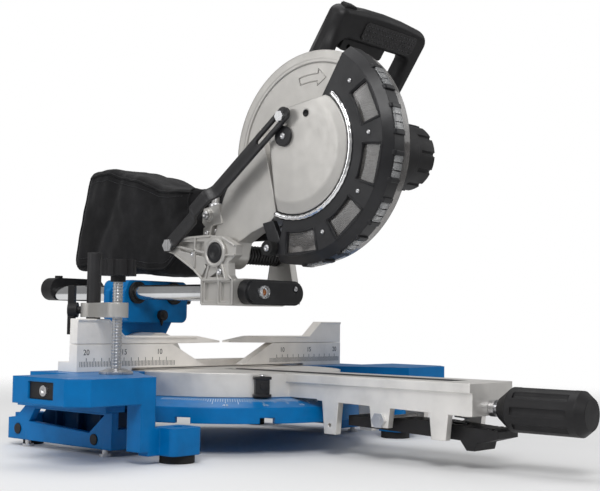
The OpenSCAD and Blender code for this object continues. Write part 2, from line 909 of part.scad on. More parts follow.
module cheek_pockets() {
    polygon([P + [20, 13], P + [20, -4], A + [-14, -6], A + [-12, 4]]);
    polygon([P + [16, -16], P + [18, -12], P + [10, -14], [boss_y1 - 4, rail_z + 16],
        [boss_y1 + 2, rail_z + 16]]);
    translate([boss_y0 + 4, rail_z - 10]) square([14, 20]);
    translate([boss_y0 + 23, rail_z - 10]) square([boss_y1 - boss_y0 - 28, 20]);
    polygon([[boss_y0 + 12, rail_z + 16], [boss_y0 + 36, rail_z + 16], P + [-4, -20], P + [-12, -18]]);
}

module carrier() {
    color(silver) difference() {
        union() {
            difference() {
                along_x(cheek_x0, cheek_x1) cheek_outline();
                along_x(cheek_x0 - over, cheek_x0 + 5) cheek_pockets();
            }
            along_y(boss_y0, boss_y1) translate([rail_near, rail_z]) stadium(rail_span, boss_r);
            box(rail_near - boss_r - 3, rail_near, boss_y0, boss_y1, rail_z - boss_r + over,
                rail_z + boss_r - over);
            along_x(cheek_x0, cheek_x1) translate(P) circle(pivot_r + 7);
            box(rail_far, far_x1, boss_y0, boss_y1 - 3, rail_z - 12, rail_z + 12);
            along_x(far_x0, far_x1) polygon([[boss_y0, rail_z], [boss_y1 - 3, rail_z], P + [12, -4],
                P + [10, 12], P + [-11, 12], P + [-18, -8]]);
        }
        for (x = [rail_near, rail_far]) rod_y(rail_r + run, boss_y0 - over, boss_y1 + over, [x, rail_z]);
        rod_x(pivot_r + run, cheek_x0 - over, far_x1 + over, P);
        rod_x(link_pin_r + run, cheek_x0 - over, cheek_x1 + over, A);
        rod_x(3, cheek_x0 - over, cheek_x1 + over, [boss_y0 + 20, rail_z + 22]);
    }
}

link_pin_r = 4;

module pivot_shaft() {
    color(steel) rod_x(pivot_r, cheek_x0 + 2, far_x1, P);
}

spring_x0 = upper_x0 + upper_wall + 4.5;
spring_len = far_x0 - 3.5 - spring_x0;

module torsion_spring() {
    color(steel) translate([spring_x0, P[0], P[1]]) rotate([0, 90, 0])
        coil(pivot_r + coil_wire / 2 + 1.2, coil_wire, spring_len, coil_turns);
}

link_len = norm(L - A);
link_turn = atan2(L[1] - A[1], L[0] - A[0]);
slot_r = 3;

module link_bar() {
    color(black) along_x(link_x0, link_x1) translate(A) rotate(link_turn) difference() {
        stadium(link_len + 4, link_w / 2);
        translate([link_len - 40, 0]) stadium(40, slot_r);
        circle(link_pin_r);
    }
}

module link_bolts() {
    color(steel) {
        rod_x(link_pin_r, link_x0 - over, cheek_x1 - 1, A);
        along_x(link_x0 - 4, link_x0) translate(A) hex(7.5);
        rod_x(slot_r - 0.1, link_x0 - over, plate_x0 - 0.4, L);
        rod_x(7, link_x0 - 1.2, link_x0, L);
        along_x(link_x0 - 5, link_x0 - over) translate(L) hex(6);
    }
}

// Saw head

module arm_outline() {
    polygon([P + [17, -4], P + [19, 20], P + [6, 62], P + [-14, 100], B + [60, 30], B + [40, -40],
        B + [35, -66], B + [45, -76], P + [-38, 22], P + [-20, 12], P + [-15, -8]]);
    translate(P) circle(17);
}

module upper_guard() {
    color(silver) difference() {
        union() {
            along_x(upper_x0, upper_x0 + upper_wall) ring_slice(B, 15, upper_r, upper_a0, upper_a1);
            along_x(upper_x0, upper_x1) ring_slice(B, upper_r - upper_wall, upper_r, upper_a0, upper_a1);
            along_x(upper_x0 - 1.5, upper_x0 + over) ring_slice(B, 98, 102, upper_a0 + 4, upper_a1 - 30);
            difference() {
                along_x(arm_x0, upper_x0 + upper_wall) arm_outline();
                rod_x(24, arm_x0 - over, upper_x0, B);
            }
            rod_x(17, -30.5, spring_x0 - 4.5, P);
            box(arm_x0, arm_x0 + 16, P[0] + 9, P[0] + 34, P[1] + 37, P[1] + 49);
            rod_z(4.5, P[1] + 21, P[1] + 65, [arm_x0 + 8, P[0] + 26]);
            rod_x(8, guard_x0 + 3.5, upper_x0 + over, G);
            along_x(arm_x0, arm_x0 + 6) polygon([B + [52, -66], B + [62, -58], bumper_at + [8, 0],
                bumper_at + [0, -8], bumper_at + [-7, 3]]);
        }
        rod_x(pivot_r + run, -40, 40, P);
        rod_x(guard_pin_r, guard_x0, 0, G);
        rod_x(bumper_pin_r, arm_x0 - over, arm_x0 + 7, bumper_at);
    }
}

guard_pin_r = 5;
bumper_pin_r = 2.5;
bumper_x0 = -42;

module guard_pivot() {
    color(black) {
        rod_x(guard_pin_r, plate_x0 - over, upper_x0 + upper_wall, G);
        difference() {
            rod_x(11, plate_x0 - 3.4, plate_x0 - 0.4, G);
            along_x(plate_x0 - 4, plate_x0 - 2) translate(G) hex(3.5);
        }
    }
}

module bumper() {
    color(black) {
        rod_x(8, bumper_x0, bumper_x0 + 10, bumper_at);
        rod_x(4, bumper_x0 + 10 - over, arm_x0, bumper_at);
        rod_x(bumper_pin_r, arm_x0 - over, arm_x0 + 7, bumper_at);
    }
}

bump_at = M + [43, 54];
bump_r = 24;

module gear_housing() {
    color(black) difference() {
        union() {
            along_x(upper_x1, upper_x1 + 4) {
                ring_slice(B, 1, upper_r, upper_a0, upper_a1);
                translate(B) circle(52);
            }
            rod_x(50, upper_x1 + 3, 46, B);
            rod_x(motor_r + 3, upper_x1 + 3, gear_x1, M);
            rod_x(bump_r, 20, gear_x1 + 6, bump_at);
            along_x(20, gear_x1)
                polygon([M + [-10, 30], M + [35, 10], bump_at + [bump_r, 0], bump_at + [-20, 12]]);
        }
        rod_x(arbor_r + run, 0, 40, B);
    }
}

module motor_housing() {
    color(black) difference() {
        union() {
            rod_x(motor_r, gear_x1, motor_x1, M);
            rod_x(motor_r + 2, gear_x1, gear_x1 + 10, M);
            for (i = [0:3]) rod_x(motor_r + 1, gear_x1 + 30 + 14 * i, gear_x1 + 36 + 14 * i, M);
        }
        rod_x(motor_r - 5, gear_x1 + 8, motor_x1 + over, M);
    }
}

module motor_end_cap() {
    color(black) {
        difference() {
            rod_x(motor_r - 1, motor_x1, motor_end - 8, M);
            rod_x(motor_r - 6, motor_x1 - over, motor_end - 14, M);
            for (i = [0:11]) along_x(motor_x1 + 6, motor_end - 4) translate(M) rotate(i * 30)
                translate([motor_r - 1, 0]) circle(2.5);
        }
        rod_x(motor_r - 9, motor_end - 9, motor_end, M);
    }
}

module grip_frame() {
    translate([0, grip_base[0], grip_base[1]]) rotate([grip_lean, 0, 0]) children();
}

module grip_loop(inset) {
    soft_rect(grip_x0 + inset, bar_low + inset, grip_x1 - inset, grip_top - inset, 13 - inset);
    translate([grip_x0 + inset, inset - 2]) square([leg_w - 2 * inset, grip_top - 16]);
    translate([grip_x1 - leg_w + inset, inset - 52]) square([leg_w - 2 * inset, grip_top + 36]);
}

trigger_x0 = 34;
trigger_x1 = 109;
trigger_half = 7;
trigger_pin_r = 2.6;
button_x0 = 16;
button_x1 = 34;
button_half = 5;

module handle_shell() {
    color(black) difference() {
        grip_frame() difference() {
            union() {
                along_y(-grip_t / 2 + 3, grip_t / 2 - 3) grip_loop(0);
                along_y(-grip_t / 2, grip_t / 2) grip_loop(3);
            }
            box(trigger_x0 - gap, trigger_x1 + gap, -trigger_half - gap, trigger_half + gap, 0, bar_low + 13);
            box(button_x0 - gap, button_x1 + gap, -button_half - gap, button_half + gap,
                grip_top - 9, grip_top + 9);
        }
        rod_x(upper_r + 0.1, 0, 100, B);
        rod_x(motor_r + 0.1, 100, 200, M);
    }
}

module grip_panel() {
    color(black) grip_frame() along_y(-grip_t / 2 - 1.5, -grip_t / 2)
        soft_rect(52, bar_low + 6, 148, grip_top - 6, 6);
}

module trigger() {
    color(black) grip_frame() difference() {
        along_y(-trigger_half, trigger_half) soft_rect(trigger_x0, bar_low - 12, trigger_x1, bar_low + 7, 4);
        rod_y(trigger_pin_r, -grip_t, grip_t, [trigger_x0 + 12, bar_low - 6]);
    }
}

module lock_button() {
    color(black) grip_frame() {
        box(button_x0, button_x1, -button_half, button_half, grip_top - 5, grip_top + 3);
        for (x = [button_x0 + 2:4:button_x1 - 4])
            box(x, x + 2, -button_half, button_half, grip_top + 2, grip_top + 4);
    }
}

module dust_port() {
    color(black) difference() {
        union() {
            box(upper_x1 + 4, port_x + port_r, P[0] - 49, P[0] + 1, port_z - port_r, port_z + port_r);
            rod_y(port_r, P[0] - 5, bag_y0 - gap, [port_x, port_z]);
        }
        rod_y(port_r - 3, P[0] - 45, bag_y0, [port_x, port_z]);
    }
}

// The bag hangs from its neck on the dust port
bag_r = 26;
bag_x0 = port_x - bag_w / 2 + bag_r;
bag_x1 = port_x + bag_w / 2 - bag_r;
bag_low = port_z - 86 + bag_r;

module dust_bag() {
    color(black) {
        hull() {
            for (x = [bag_x0, bag_x1]) {
                translate([x, bag_y0 + bag_r + 20, bag_low + 6]) sphere(bag_r, $fn = 16);
                translate([x, bag_y0 + bag_r + 20, port_z]) sphere(bag_r * 0.9, $fn = 16);
                translate([x, bag_y0 + bag_len - bag_r, bag_low]) sphere(bag_r, $fn = 16);
                translate([x, bag_y0 + bag_len - bag_r - 20, port_z + 55 - bag_r]) sphere(bag_r, $fn = 16);
            }
        }
        rod_y(port_r + 3, bag_y0, bag_y0 + 40, [port_x, port_z]);
    }
}

// Blade and lower guard

tooth_count = 24;
tooth_deep = 8;
tooth_root = blade_r - 1.5 * tooth_deep;

module blade() {
    color(steel) along_x(-blade_t / 2, blade_t / 2) translate(B) difference() {
        circle(blade_r - tooth_deep / 2);
        circle(arbor_r);
        for (i = [0:tooth_count - 1]) rotate(i * 360 / tooth_count)
            translate([blade_r - tooth_deep / 2, 0]) circle(tooth_deep / 2);
    }
    color(steel) along_x(-blade_t / 2, blade_t / 2) translate(B)
        for (i = [0:tooth_count - 1]) rotate((i + 0.5) * 360 / tooth_count)
            polygon([[tooth_root, -8], [blade_r - 1, -3], [blade_r, 3], [tooth_root, 6]]);
}

module arbor() {
    color(steel) {
        rod_x(arbor_r, -blade_t / 2 - 4, 38, B);
        rod_x(14, -blade_t / 2 - 4, -blade_t / 2, B);
        rod_x(21, blade_t / 2, upper_x1 - 2, B);
        along_x(-14, -blade_t / 2 - 3) translate(B) hex(10);
    }
}

module face_window(a) {
    polygon([for (p = [[window_r0, -window_half], [window_r0, window_half],
        [window_r1, window_half - 1], [window_r1, 1 - window_half]])
        B + p[0] * [-cos(a + p[1]), sin(a + p[1])]]);
}

// The guard turned about the blade's axis, from [radius, depth] points
module guard_turned(points) {
    intersection() {
        translate([guard_x0, B[0], B[1]]) rotate([0, 90, 0]) rotate_extrude() polygon(points);
        along_x(guard_x0 - over, shell_x1 + over) wedge(B, rim_out * 1.4, guard_a0, guard_a1);
    }
}

module guard_ring() {
    color(black) difference() {
        guard_turned([[face_r0, 0], [rim_out - slope_fall, 0], [rim_out, slope_deep], [rim_out, rim_deep],
            [rim_r, rim_deep], [rim_r, slope_deep + 1], [rim_r - slope_fall, guard_face],
            [face_r0, guard_face]]);
        for (i = [0:window_count - 1])
            along_x(guard_x0 - over, guard_x0 + guard_face + over)
                face_window(window_first - window_step * i);
        for (i = [0:notch_count - 1])
            along_x(guard_x0 + slope_deep + 2, guard_x1 - 3) rim_notch(notch_first - notch_step * i);
    }
}

module rim_notch(a) {
    wedge(B, rim_out * 1.2, a - notch_half, a + notch_half);
}

// The clear pane lies behind the face and turns into the clear band inside the rim
module guard_windows() {
    color(clear) guard_turned([[pane_r0, guard_face], [rim_r - slope_fall - gap, guard_face],
        [shell_r, slope_deep + 1], [shell_r, shell_x1 - guard_x0], [shell_r - shell_t, shell_x1 - guard_x0],
        [shell_r - shell_t, slope_deep + 2], [rim_r - slope_fall - 2, guard_face + pane_t],
        [pane_r0, guard_face + pane_t]]);
}

// The hub plate is a disc cut off behind, with a boss for the pivot and the link
module plate_outline() {
    intersection() {
        translate(B) circle(hub_r);
        polygon([B + [36, 14], B + [24, -hub_r], B + [-hub_r - over, -hub_r - over], B + [-hub_r - over, 30],
            B + [-47, 50.5], B + [-39.5, 54], L + [-4, 11], L + [11, 0]]);
    }
    translate(G) circle(15);
    translate(L) circle(11);
}

module guard_plate() {
    color(silver) difference() {
        intersection() {
            along_x(plate_x0, guard_x0) plate_outline();
            translate([plate_x0, B[0], B[1]]) rotate([0, 90, 0]) rotate_extrude()
                polygon([[0, 0], [plate_flat_r, 0], [hub_r + over, plate_slope], [hub_r + over, plate_t],
                    [0, plate_t]]);
        }
        rod_x(guard_pin_r + run, plate_x0 - over, guard_x0 + over, G);
        rod_x(4, plate_x0 - over, guard_x0 + over, L + [-27, 2]);
    }
}

base_casting();
side_frame_left();
side_frame_right();
rubber_feet();
levelling_feet();
frame_plugs();
socket_inserts();
socket_screws();
fence();
upper_fence_left();
upper_fence_right();
fence_knob_left();
fence_knob_right();
clamp_post();
clamp_arm();
clamp_screw();
clamp_knob();
clamp_pad();
clamp_lever();
turntable();
kerf_insert();
mitre_pointer();
pivot_bolt();
lever_bolt();
mitre_rod();
mitre_handle();
detent_lever();
detent_spring();
bevel_bolt();
bevel_lever();
tilt_arm();
rail_bushes();
bevel_pointer();
slide_lock_knob();
slide_rails();
rear_end_cap();
front_cover();
laser_module();
carrier();
pivot_shaft();
torsion_spring();
link_bar();
link_bolts();
upper_guard();
gear_housing();
motor_housing();
motor_end_cap();
handle_shell();
grip_panel();
trigger();
lock_button();
dust_port();
dust_bag();
bumper();
blade();
arbor();
guard_pivot();
guard_ring();
guard_windows();
guard_plate();
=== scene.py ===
import math

import bmesh
import bpy
from mathutils import Matrix, Vector, noise
from mathutils.geometry import tessellate_polygon


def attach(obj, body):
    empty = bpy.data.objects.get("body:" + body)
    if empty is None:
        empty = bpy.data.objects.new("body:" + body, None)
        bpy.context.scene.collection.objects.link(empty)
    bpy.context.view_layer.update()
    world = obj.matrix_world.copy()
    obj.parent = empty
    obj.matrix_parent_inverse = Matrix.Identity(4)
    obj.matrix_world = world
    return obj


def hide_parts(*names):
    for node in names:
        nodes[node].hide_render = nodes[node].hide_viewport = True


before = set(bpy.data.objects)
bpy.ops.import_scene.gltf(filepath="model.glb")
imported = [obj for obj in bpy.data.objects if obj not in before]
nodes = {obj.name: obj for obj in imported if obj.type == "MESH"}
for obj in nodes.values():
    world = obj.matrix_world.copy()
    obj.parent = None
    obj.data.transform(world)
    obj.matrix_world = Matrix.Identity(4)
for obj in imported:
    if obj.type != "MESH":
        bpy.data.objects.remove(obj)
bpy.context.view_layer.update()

scene = bpy.context.scene

# Shared sizes in millimetres, as in the solids: pairs are (y, z) in the side view
MM = 0.001
TABLE = 82.0
RAIL = TABLE + 86.0
PIVOT = (-25.0, TABLE + 129.0)
BLADE = (-134.0, TABLE + 236.0)
LINK_A = (47.0, TABLE + 139.0)
GUARD = (BLADE[0] + 14.0, BLADE[1] + 15.0)
LINK_L = (GUARD[0] - 2.0, GUARD[1] + 20.0)
CHEEK = -41.0
LASER_X = -9.0
CLAMP_X, CLAMP_Y = -199.0, -45.0


def add_object(name, data):
    """A new object in the scene."""
    obj = bpy.data.objects.new(name, data)
    scene.collection.objects.link(obj)
    return obj


# Camera

CAMERA_AT = (-0.9528, -0.9293, 0.1386)
CAMERA_TURN = (49.36, 3.66, 0.89)
CAMERA_LENS, CAMERA_SENSOR = 69.33, 36


def make_camera():
    """The photograph's view: CAMERA_TURN is azimuth, pitch and roll in degrees."""
    azimuth, pitch, roll = (math.radians(a) for a in CAMERA_TURN)
    flat = math.cos(pitch)
    forward = Vector((flat * math.sin(azimuth), flat * math.cos(azimuth), math.sin(pitch)))
    level = Vector((math.cos(azimuth), -math.sin(azimuth), 0))
    above = level.cross(forward)
    right = level * math.cos(roll) + above * math.sin(roll)
    up = above * math.cos(roll) - level * math.sin(roll)
    data = bpy.data.cameras.new("camera")
    data.sensor_fit = "HORIZONTAL"
    data.sensor_width = CAMERA_SENSOR
    data.lens = CAMERA_LENS
    data.clip_start = 0.05
    data.clip_end = 60
    camera = add_object("camera", data)
    turn = Matrix((right, up, -forward)).transposed().to_4x4()
    camera.matrix_world = Matrix.Translation(CAMERA_AT) @ turn
    scene.camera = camera


make_camera()


# Materials

class Graph:
    """A material's nodes, with short calls for the ones used here."""

    def __init__(self, name):
        self.material = bpy.data.materials.new(name)
        self.material.use_nodes = True
        self.tree = self.material.node_tree
        self.shader = self.tree.nodes["Principled BSDF"]
        self.place = self.tree.nodes.new("ShaderNodeTexCoord").outputs["Object"]

    def link(self, a, b):
        self.tree.links.new(a, b)

    def stretch(self, scale):
        node = self.tree.nodes.new("ShaderNodeMapping")
        node.inputs["Scale"].default_value = scale
        self.link(self.place, node.inputs["Vector"])
        return node.outputs["Vector"]

    def noise(self, scale, detail, vector=None):
        node = self.tree.nodes.new("ShaderNodeTexNoise")
        node.inputs["Scale"].default_value = scale
        node.inputs["Detail"].default_value = detail
        node.inputs["Roughness"].default_value = 0.55
        self.link(vector or self.place, node.inputs["Vector"])
        return node.outputs["Fac"]

    def cells(self, scale):
        node = self.tree.nodes.new("ShaderNodeTexVoronoi")
        node.inputs["Scale"].default_value = scale
        self.link(self.place, node.inputs["Vector"])
        return node.outputs["Distance"]

    def wave(self, scale, direction, distortion):
        node = self.tree.nodes.new("ShaderNodeTexWave")
        node.bands_direction = direction
        node.inputs["Scale"].default_value = scale
        node.inputs["Distortion"].default_value = distortion
        self.link(self.place, node.inputs["Vector"])
        return node.outputs["Fac"]

    def ramp(self, value, stops):
        node = self.tree.nodes.new("ShaderNodeValToRGB")
        band = node.color_ramp
        while len(band.elements) < len(stops):
            band.elements.new(0.5)
        for element, (at, colour) in zip(band.elements, stops):
            element.position = at
            element.color = (*colour, 1.0)
        self.link(value, node.inputs["Fac"])
        return node.outputs["Color"]

    def spread(self, value, low, high):
        """The middle range of a noise, spread between two values."""
        node = self.tree.nodes.new("ShaderNodeMapRange")
        for name, limit in (("From Min", 0.3), ("From Max", 0.7), ("To Min", low), ("To Max", high)):
            node.inputs[name].default_value = limit
        self.link(value, node.inputs["Value"])
        return node.outputs["Result"]

    def maths(self, operation, a, b):
        node = self.tree.nodes.new("ShaderNodeMath")
        node.operation = operation
        for socket, value in zip(node.inputs, (a, b)):
            if isinstance(value, (int, float)):
                socket.default_value = value
            else:
                self.link(value, socket)
        return node.outputs["Value"]

    def bump(self, height, strength, distance):
        """Fine relief, on top of what already shapes the surface."""
        node = self.tree.nodes.new("ShaderNodeBump")
        node.inputs["Strength"].default_value = strength
        node.inputs["Distance"].default_value = distance
        self.link(height, node.inputs["Height"])
        last = self.shader.inputs["Normal"]
        if last.is_linked:
            self.link(last.links[0].from_socket, node.inputs["Normal"])
        self.link(node.outputs["Normal"], last)

    def rounded(self, radius):
        """Soft edge highlights, as on a casting or a moulding."""
        node = self.tree.nodes.new("ShaderNodeBevel")
        node.samples = 6
        node.inputs["Radius"].default_value = radius
        self.link(node.outputs["Normal"], self.shader.inputs["Normal"])

    def colour(self, socket):
        self.link(socket, self.shader.inputs["Base Color"])

    def rough(self, socket):
        self.link(socket, self.shader.inputs["Roughness"])

    def set(self, **values):
        for name, value in values.items():
            self.shader.inputs[name.replace("_", " ")].default_value = value


def shades(colour, low, high):
    """A darker and a lighter tone of a colour."""
    return tuple(c * low for c in colour), tuple(min(1.0, c * high) for c in colour)


def painted(name, colour, low, high, rough, grain, metallic=0.0, specular=0.5):
    """Satin paint on a casting: cloudy tone, uneven gloss, orange peel and slight waves."""
    g = Graph(name)
    g.rounded(0.0024)
    dark, light = shades(colour, low, high)
    g.colour(g.ramp(g.noise(38, 5), [(0.3, dark), (0.55, colour), (0.75, light)]))
    g.rough(g.spread(g.noise(90, 4), *rough))
    g.bump(g.noise(900, 2), grain, 0.0004)
    g.bump(g.noise(60, 3), 0.08, 0.0015)
    g.set(Metallic=metallic, Specular_IOR_Level=specular, Coat_Weight=0.06, Coat_Roughness=0.12)
    return g.material


def moulded(name, colour, rough=(0.42, 0.58), grain=0.25, scale=1500, specular=0.3):
    """Moulded plastic with a spark-eroded grain and faint handling marks."""
    g = Graph(name)
    g.rounded(0.0012)
    dark, light = shades(colour, 0.8, 1.35)
    g.colour(g.ramp(g.noise(70, 5), [(0.32, dark), (0.55, colour), (0.78, light)]))
    g.rough(g.spread(g.noise(45, 5), *rough))
    g.bump(g.noise(scale, 2), grain, 0.0003)
    g.set(Specular_IOR_Level=specular)
    return g.material


def machined(name, colour, along, rough, grain=0.15):
    """Bare metal with fine cutter lines along one axis."""
    g = Graph(name)
    scale = {"X": (6, 900, 900), "Y": (900, 6, 900), "Z": (900, 900, 6)}[along]
    lines = g.noise(1.0, 4, g.stretch(scale))
    dark, light = shades(colour, 0.86, 1.1)
    g.colour(g.ramp(g.noise(25, 4), [(0.3, dark), (0.6, colour), (0.8, light)]))
    g.rough(g.spread(lines, *rough))
    g.bump(lines, grain, 0.0002)
    g.set(Metallic=1.0)
    return g.material


def cast_alloy(name, colour, metallic):
    """Bead-blasted casting with a dull metal lustre."""
    g = Graph(name)
    g.rounded(0.0012)
    dark, light = shades(colour, 0.88, 1.07)
    g.colour(g.ramp(g.noise(30, 5), [(0.3, dark), (0.5, colour), (0.72, light)]))
    g.rough(g.spread(g.noise(120, 4), 0.36, 0.52))
    g.bump(g.noise(1300, 2), 0.2, 0.0003)
    g.set(Metallic=metallic)
    return g.material


def knurled(name, colour):
    """Soft rubber with small raised dots, painted lighter on their tops and darker between them as painted
    highlight and shade.
    """
    g = Graph(name)
    dark, light = shades(colour, 0.7, 1.5)
    dots = g.cells(300)
    # Colour follows the dots' height: painted highlight on the tops and painted shade between them.
    g.colour(g.ramp(dots, [(0.1, light), (0.5, colour), (0.8, dark)]))
    g.rough(g.spread(g.noise(80, 4), 0.55, 0.75))
    g.bump(g.maths("SUBTRACT", 1.0, dots), 0.6, 0.0012)
    g.bump(g.noise(1800, 2), 0.15, 0.0002)
    return g.material


def clear_plastic(name, dark, light, through):
    """Clear moulding with a slight tint and soft smears."""
    g = Graph(name)
    g.colour(g.ramp(g.noise(40, 4), [(0.35, dark), (0.7, light)]))
    g.rough(g.spread(g.noise(60, 5), 0.04, 0.2))
    g.bump(g.noise(55, 2), 0.06, 0.001)
    g.set(Transmission_Weight=through, IOR=1.4, Coat_Weight=0.4, Coat_Roughness=0.05)
    return g.material


def woven(name, colour):
    """Plain weave with crossing threads, dusty patches and a soft sheen, and painted shade in the low
    places between the threads.
    """
    g = Graph(name)
    warp, weft = (g.wave(430, direction, 0.6) for direction in "YZ")
    weave = g.maths("MAXIMUM", warp, weft)
    dark, light = shades(colour, 0.62, 1.9)
    dust = g.ramp(g.noise(22, 6), [(0.3, dark), (0.52, colour), (0.8, light)])
    blend = g.tree.nodes.new("ShaderNodeMix")
    blend.data_type = "RGBA"
    blend.blend_type = "MULTIPLY"
    blend.inputs["Factor"].default_value = 0.5
    g.link(dust, blend.inputs["A"])
    # The weave's low places are darkened: painted shade between the threads.
    g.link(g.ramp(weave, [(0.2, (0.45, 0.45, 0.45)), (0.9, (1.0, 1.0, 1.0))]), blend.inputs["B"])
    g.colour(blend.outputs["Result"])
    g.rough(g.spread(g.noise(120, 3), 0.72, 0.9))
    g.bump(weave, 0.35, 0.0004)
    g.bump(g.noise(45, 5), 0.3, 0.002)
    g.set(Sheen_Weight=0.12, Sheen_Roughness=0.4, Specular_IOR_Level=0.2)
    return g.material


BLUE = (0.0, 0.150, 0.42)
SILVER = (0.53, 0.515, 0.49)
ALLOY = (0.79, 0.77, 0.74)
BLACK = (0.013, 0.0125, 0.0135)

blue_paint = painted("blue_paint", BLUE, 0.84, 1.1, (0.28, 0.42), 0.12, specular=0.14)
# A very dark blue for the inner walls of the base: painted shade for the dark inside of the base.
painted_shade_blue = painted("inner_shade_blue", (0.002, 0.03, 0.09), 0.7, 1.2, (0.5, 0.7), 0.14, specular=0.1)
silver_paint = painted("silver_paint", SILVER, 0.93, 1.06, (0.3, 0.44), 0.16, metallic=0.5)
alloy = cast_alloy("bare_alloy", ALLOY, 0.65)
fence_alloy = cast_alloy("fence_alloy", (0.93, 0.89, 0.84), 0.1)
black_plastic = moulded("black_plastic", BLACK)
smooth_black = moulded("smooth_black", (0.016, 0.016, 0.018), (0.3, 0.42), 0.12, 2200, 0.35)
rubber = moulded("black_rubber", (0.016, 0.016, 0.016), (0.62, 0.8), 0.3, 1100, 0.3)
grip_rubber = knurled("grip_rubber", (0.022, 0.021, 0.022))
black_steel = painted("black_steel", (0.017, 0.0165, 0.018), 0.8, 1.3, (0.36, 0.5), 0.1)
zinc = machined("zinc_steel", (0.62, 0.62, 0.63), "Z", (0.25, 0.42))
rail_steel = machined("rail_steel", (0.78, 0.79, 0.80), "Y", (0.08, 0.2), grain=0.06)
blade_steel = machined("blade_steel", (0.58, 0.58, 0.6), "Y", (0.2, 0.36))
bright_edge = machined("bright_edge", (0.85, 0.85, 0.86), "Y", (0.12, 0.25))
# The windows' dark grey tint is partly a smoky tint and partly painted shade for the dark inside of the
# guard.
clear = clear_plastic("clear_plastic", (0.20, 0.19, 0.185), (0.36, 0.35, 0.34), 0.72)
glassy = clear_plastic("clear_block", (0.82, 0.84, 0.86), (0.95, 0.96, 0.97), 0.8)
cloth = woven("bag_cloth", (0.010, 0.0097, 0.0108))
piping = woven("bag_piping", (0.009, 0.009, 0.01))
ink = moulded("scale_ink", (0.06, 0.06, 0.065), (0.5, 0.65), 0.1)
pale_ink = moulded("scale_pale", (0.62, 0.70, 0.78), (0.4, 0.55), 0.1)
amber = moulded("laser_lens", (0.45, 0.16, 0.05), (0.1, 0.2), 0.05)

FINISH = {
    blue_paint: "base_casting side_frame_left side_frame_right tilt_arm",
    silver_paint: "clamp_arm carrier upper_guard guard_plate",
    alloy: "turntable",
    fence_alloy: "fence upper_fence_left upper_fence_right",
    rubber: "rubber_feet bumper",
    grip_rubber: "grip_panel",
    black_plastic: "frame_plugs socket_inserts fence_knob_left fence_knob_right clamp_knob clamp_lever "
    "mitre_handle detent_lever bevel_lever rail_bushes bevel_pointer slide_lock_knob rear_end_cap "
    "gear_housing motor_housing motor_end_cap handle_shell trigger lock_button dust_port",
    smooth_black: "kerf_insert mitre_pointer front_cover guard_ring guard_pivot",
    black_steel: "clamp_post link_bar torsion_spring",
    zinc: "levelling_feet socket_screws clamp_screw pivot_bolt lever_bolt mitre_rod detent_spring "
    "bevel_bolt laser_module pivot_shaft link_bolts arbor clamp_pad",
    rail_steel: "slide_rails",
    blade_steel: "blade",
    clear: "guard_windows",
    cloth: "dust_bag",
}
EDGE = {
    "base_casting": 2.6, "side_frame_left": 2.0, "side_frame_right": 2.0, "tilt_arm": 2.4,
    "turntable": 1.2, "handle_shell": 3.2, "gear_housing": 1.4, "motor_housing": 1.0,
    "motor_end_cap": 1.2, "carrier": 0.9, "upper_guard": 0.7, "guard_ring": 0.7, "guard_plate": 0.8,
    "rear_end_cap": 2.0, "front_cover": 2.0, "mitre_handle": 2.4, "clamp_knob": 1.2, "clamp_arm": 1.0,
    "blade": 0.15, "kerf_insert": 0.2, "guard_windows": 0.2, "grip_panel": 0.6, "detent_spring": 0.0,
    "torsion_spring": 0.0, "slide_rails": 0.6,
}
OTHER_EDGE, WIDE_EDGE, EDGE_ANGLE = 0.5, 1.5, math.radians(32)


def soften(obj, width):
    """Joins the solid's split corners, breaks its sharp edges and smooths its shading."""
    weld = obj.modifiers.new("weld", "WELD")
    weld.merge_threshold = 1e-5
    if width > 0:
        bevel = obj.modifiers.new("edge", "BEVEL")
        bevel.width = width * MM
        bevel.segments = 3 if width > WIDE_EDGE else 2
        bevel.limit_method = "ANGLE"
        bevel.angle_limit = EDGE_ANGLE
        bevel.use_clamp_overlap = True
        bevel.miter_outer = "MITER_ARC"
    normal = obj.modifiers.new("normal", "WEIGHTED_NORMAL")
    normal.weight = 60


def dress(obj, material):
    obj.data.materials.clear()
    obj.data.materials.append(material)


for material, names in FINISH.items():
    for name in names.split():
        dress(nodes[name], material)
        soften(nodes[name], EDGE.get(name, OTHER_EDGE))


# Helpers for new pieces

NUMBER_RISE = 0.1


def piece(name, verts, faces, material, body, slot, smooth=True):
    """A new mesh in millimetres that rides on a body."""
    mesh = bpy.data.meshes.new(name)
    mesh.from_pydata([[c * MM for c in v] for v in verts], [], faces)
    mesh.validate()
    built = bmesh.new()
    built.from_mesh(mesh)
    bmesh.ops.recalc_face_normals(built, faces=built.faces)
    built.to_mesh(mesh)
    built.free()
    mesh.polygons.foreach_set("use_smooth", [smooth] * len(mesh.polygons))
    obj = add_object(name, mesh)
    obj.data.materials.append(material)
    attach(obj, body)
    return obj


def crisp_piece(name, shape, material, body, slot, edge):
    """A piece with flat sides and broken edges."""
    obj = piece(name, *shape, material, body, slot, smooth=False)
    soften(obj, edge)
    return obj


def baked(obj):
    """A mesh of the object as it stands, with its modifiers."""
    graph = bpy.context.evaluated_depsgraph_get()
    return bpy.data.meshes.new_from_object(obj.evaluated_get(graph))


def angles(count):
    """Equal steps round a full turn, in radians."""
    return [math.tau * k / count for k in range(count)]


def loft_faces(rows, count, closed=False, ends=True):
    """Faces between rows of points, with flat ends unless the rows close on themselves."""
    faces = []
    for i in range(rows if closed else rows - 1):
        p, q = i * count, (i + 1) % rows * count
        for k in range(count):
            n = (k + 1) % count
            faces.append((p + k, p + n, q + n, q + k))
    if ends and not closed:
        faces += [tuple(range(count))[::-1], tuple(range((rows - 1) * count, rows * count))]
    return faces


def prism_faces(count):
    """Faces between two outlines of count points each."""
    faces = [tuple(range(count)), tuple(range(count, 2 * count))[::-1]]
    return faces + [(i, (i + 1) % count, count + (i + 1) % count, count + i) for i in range(count)]


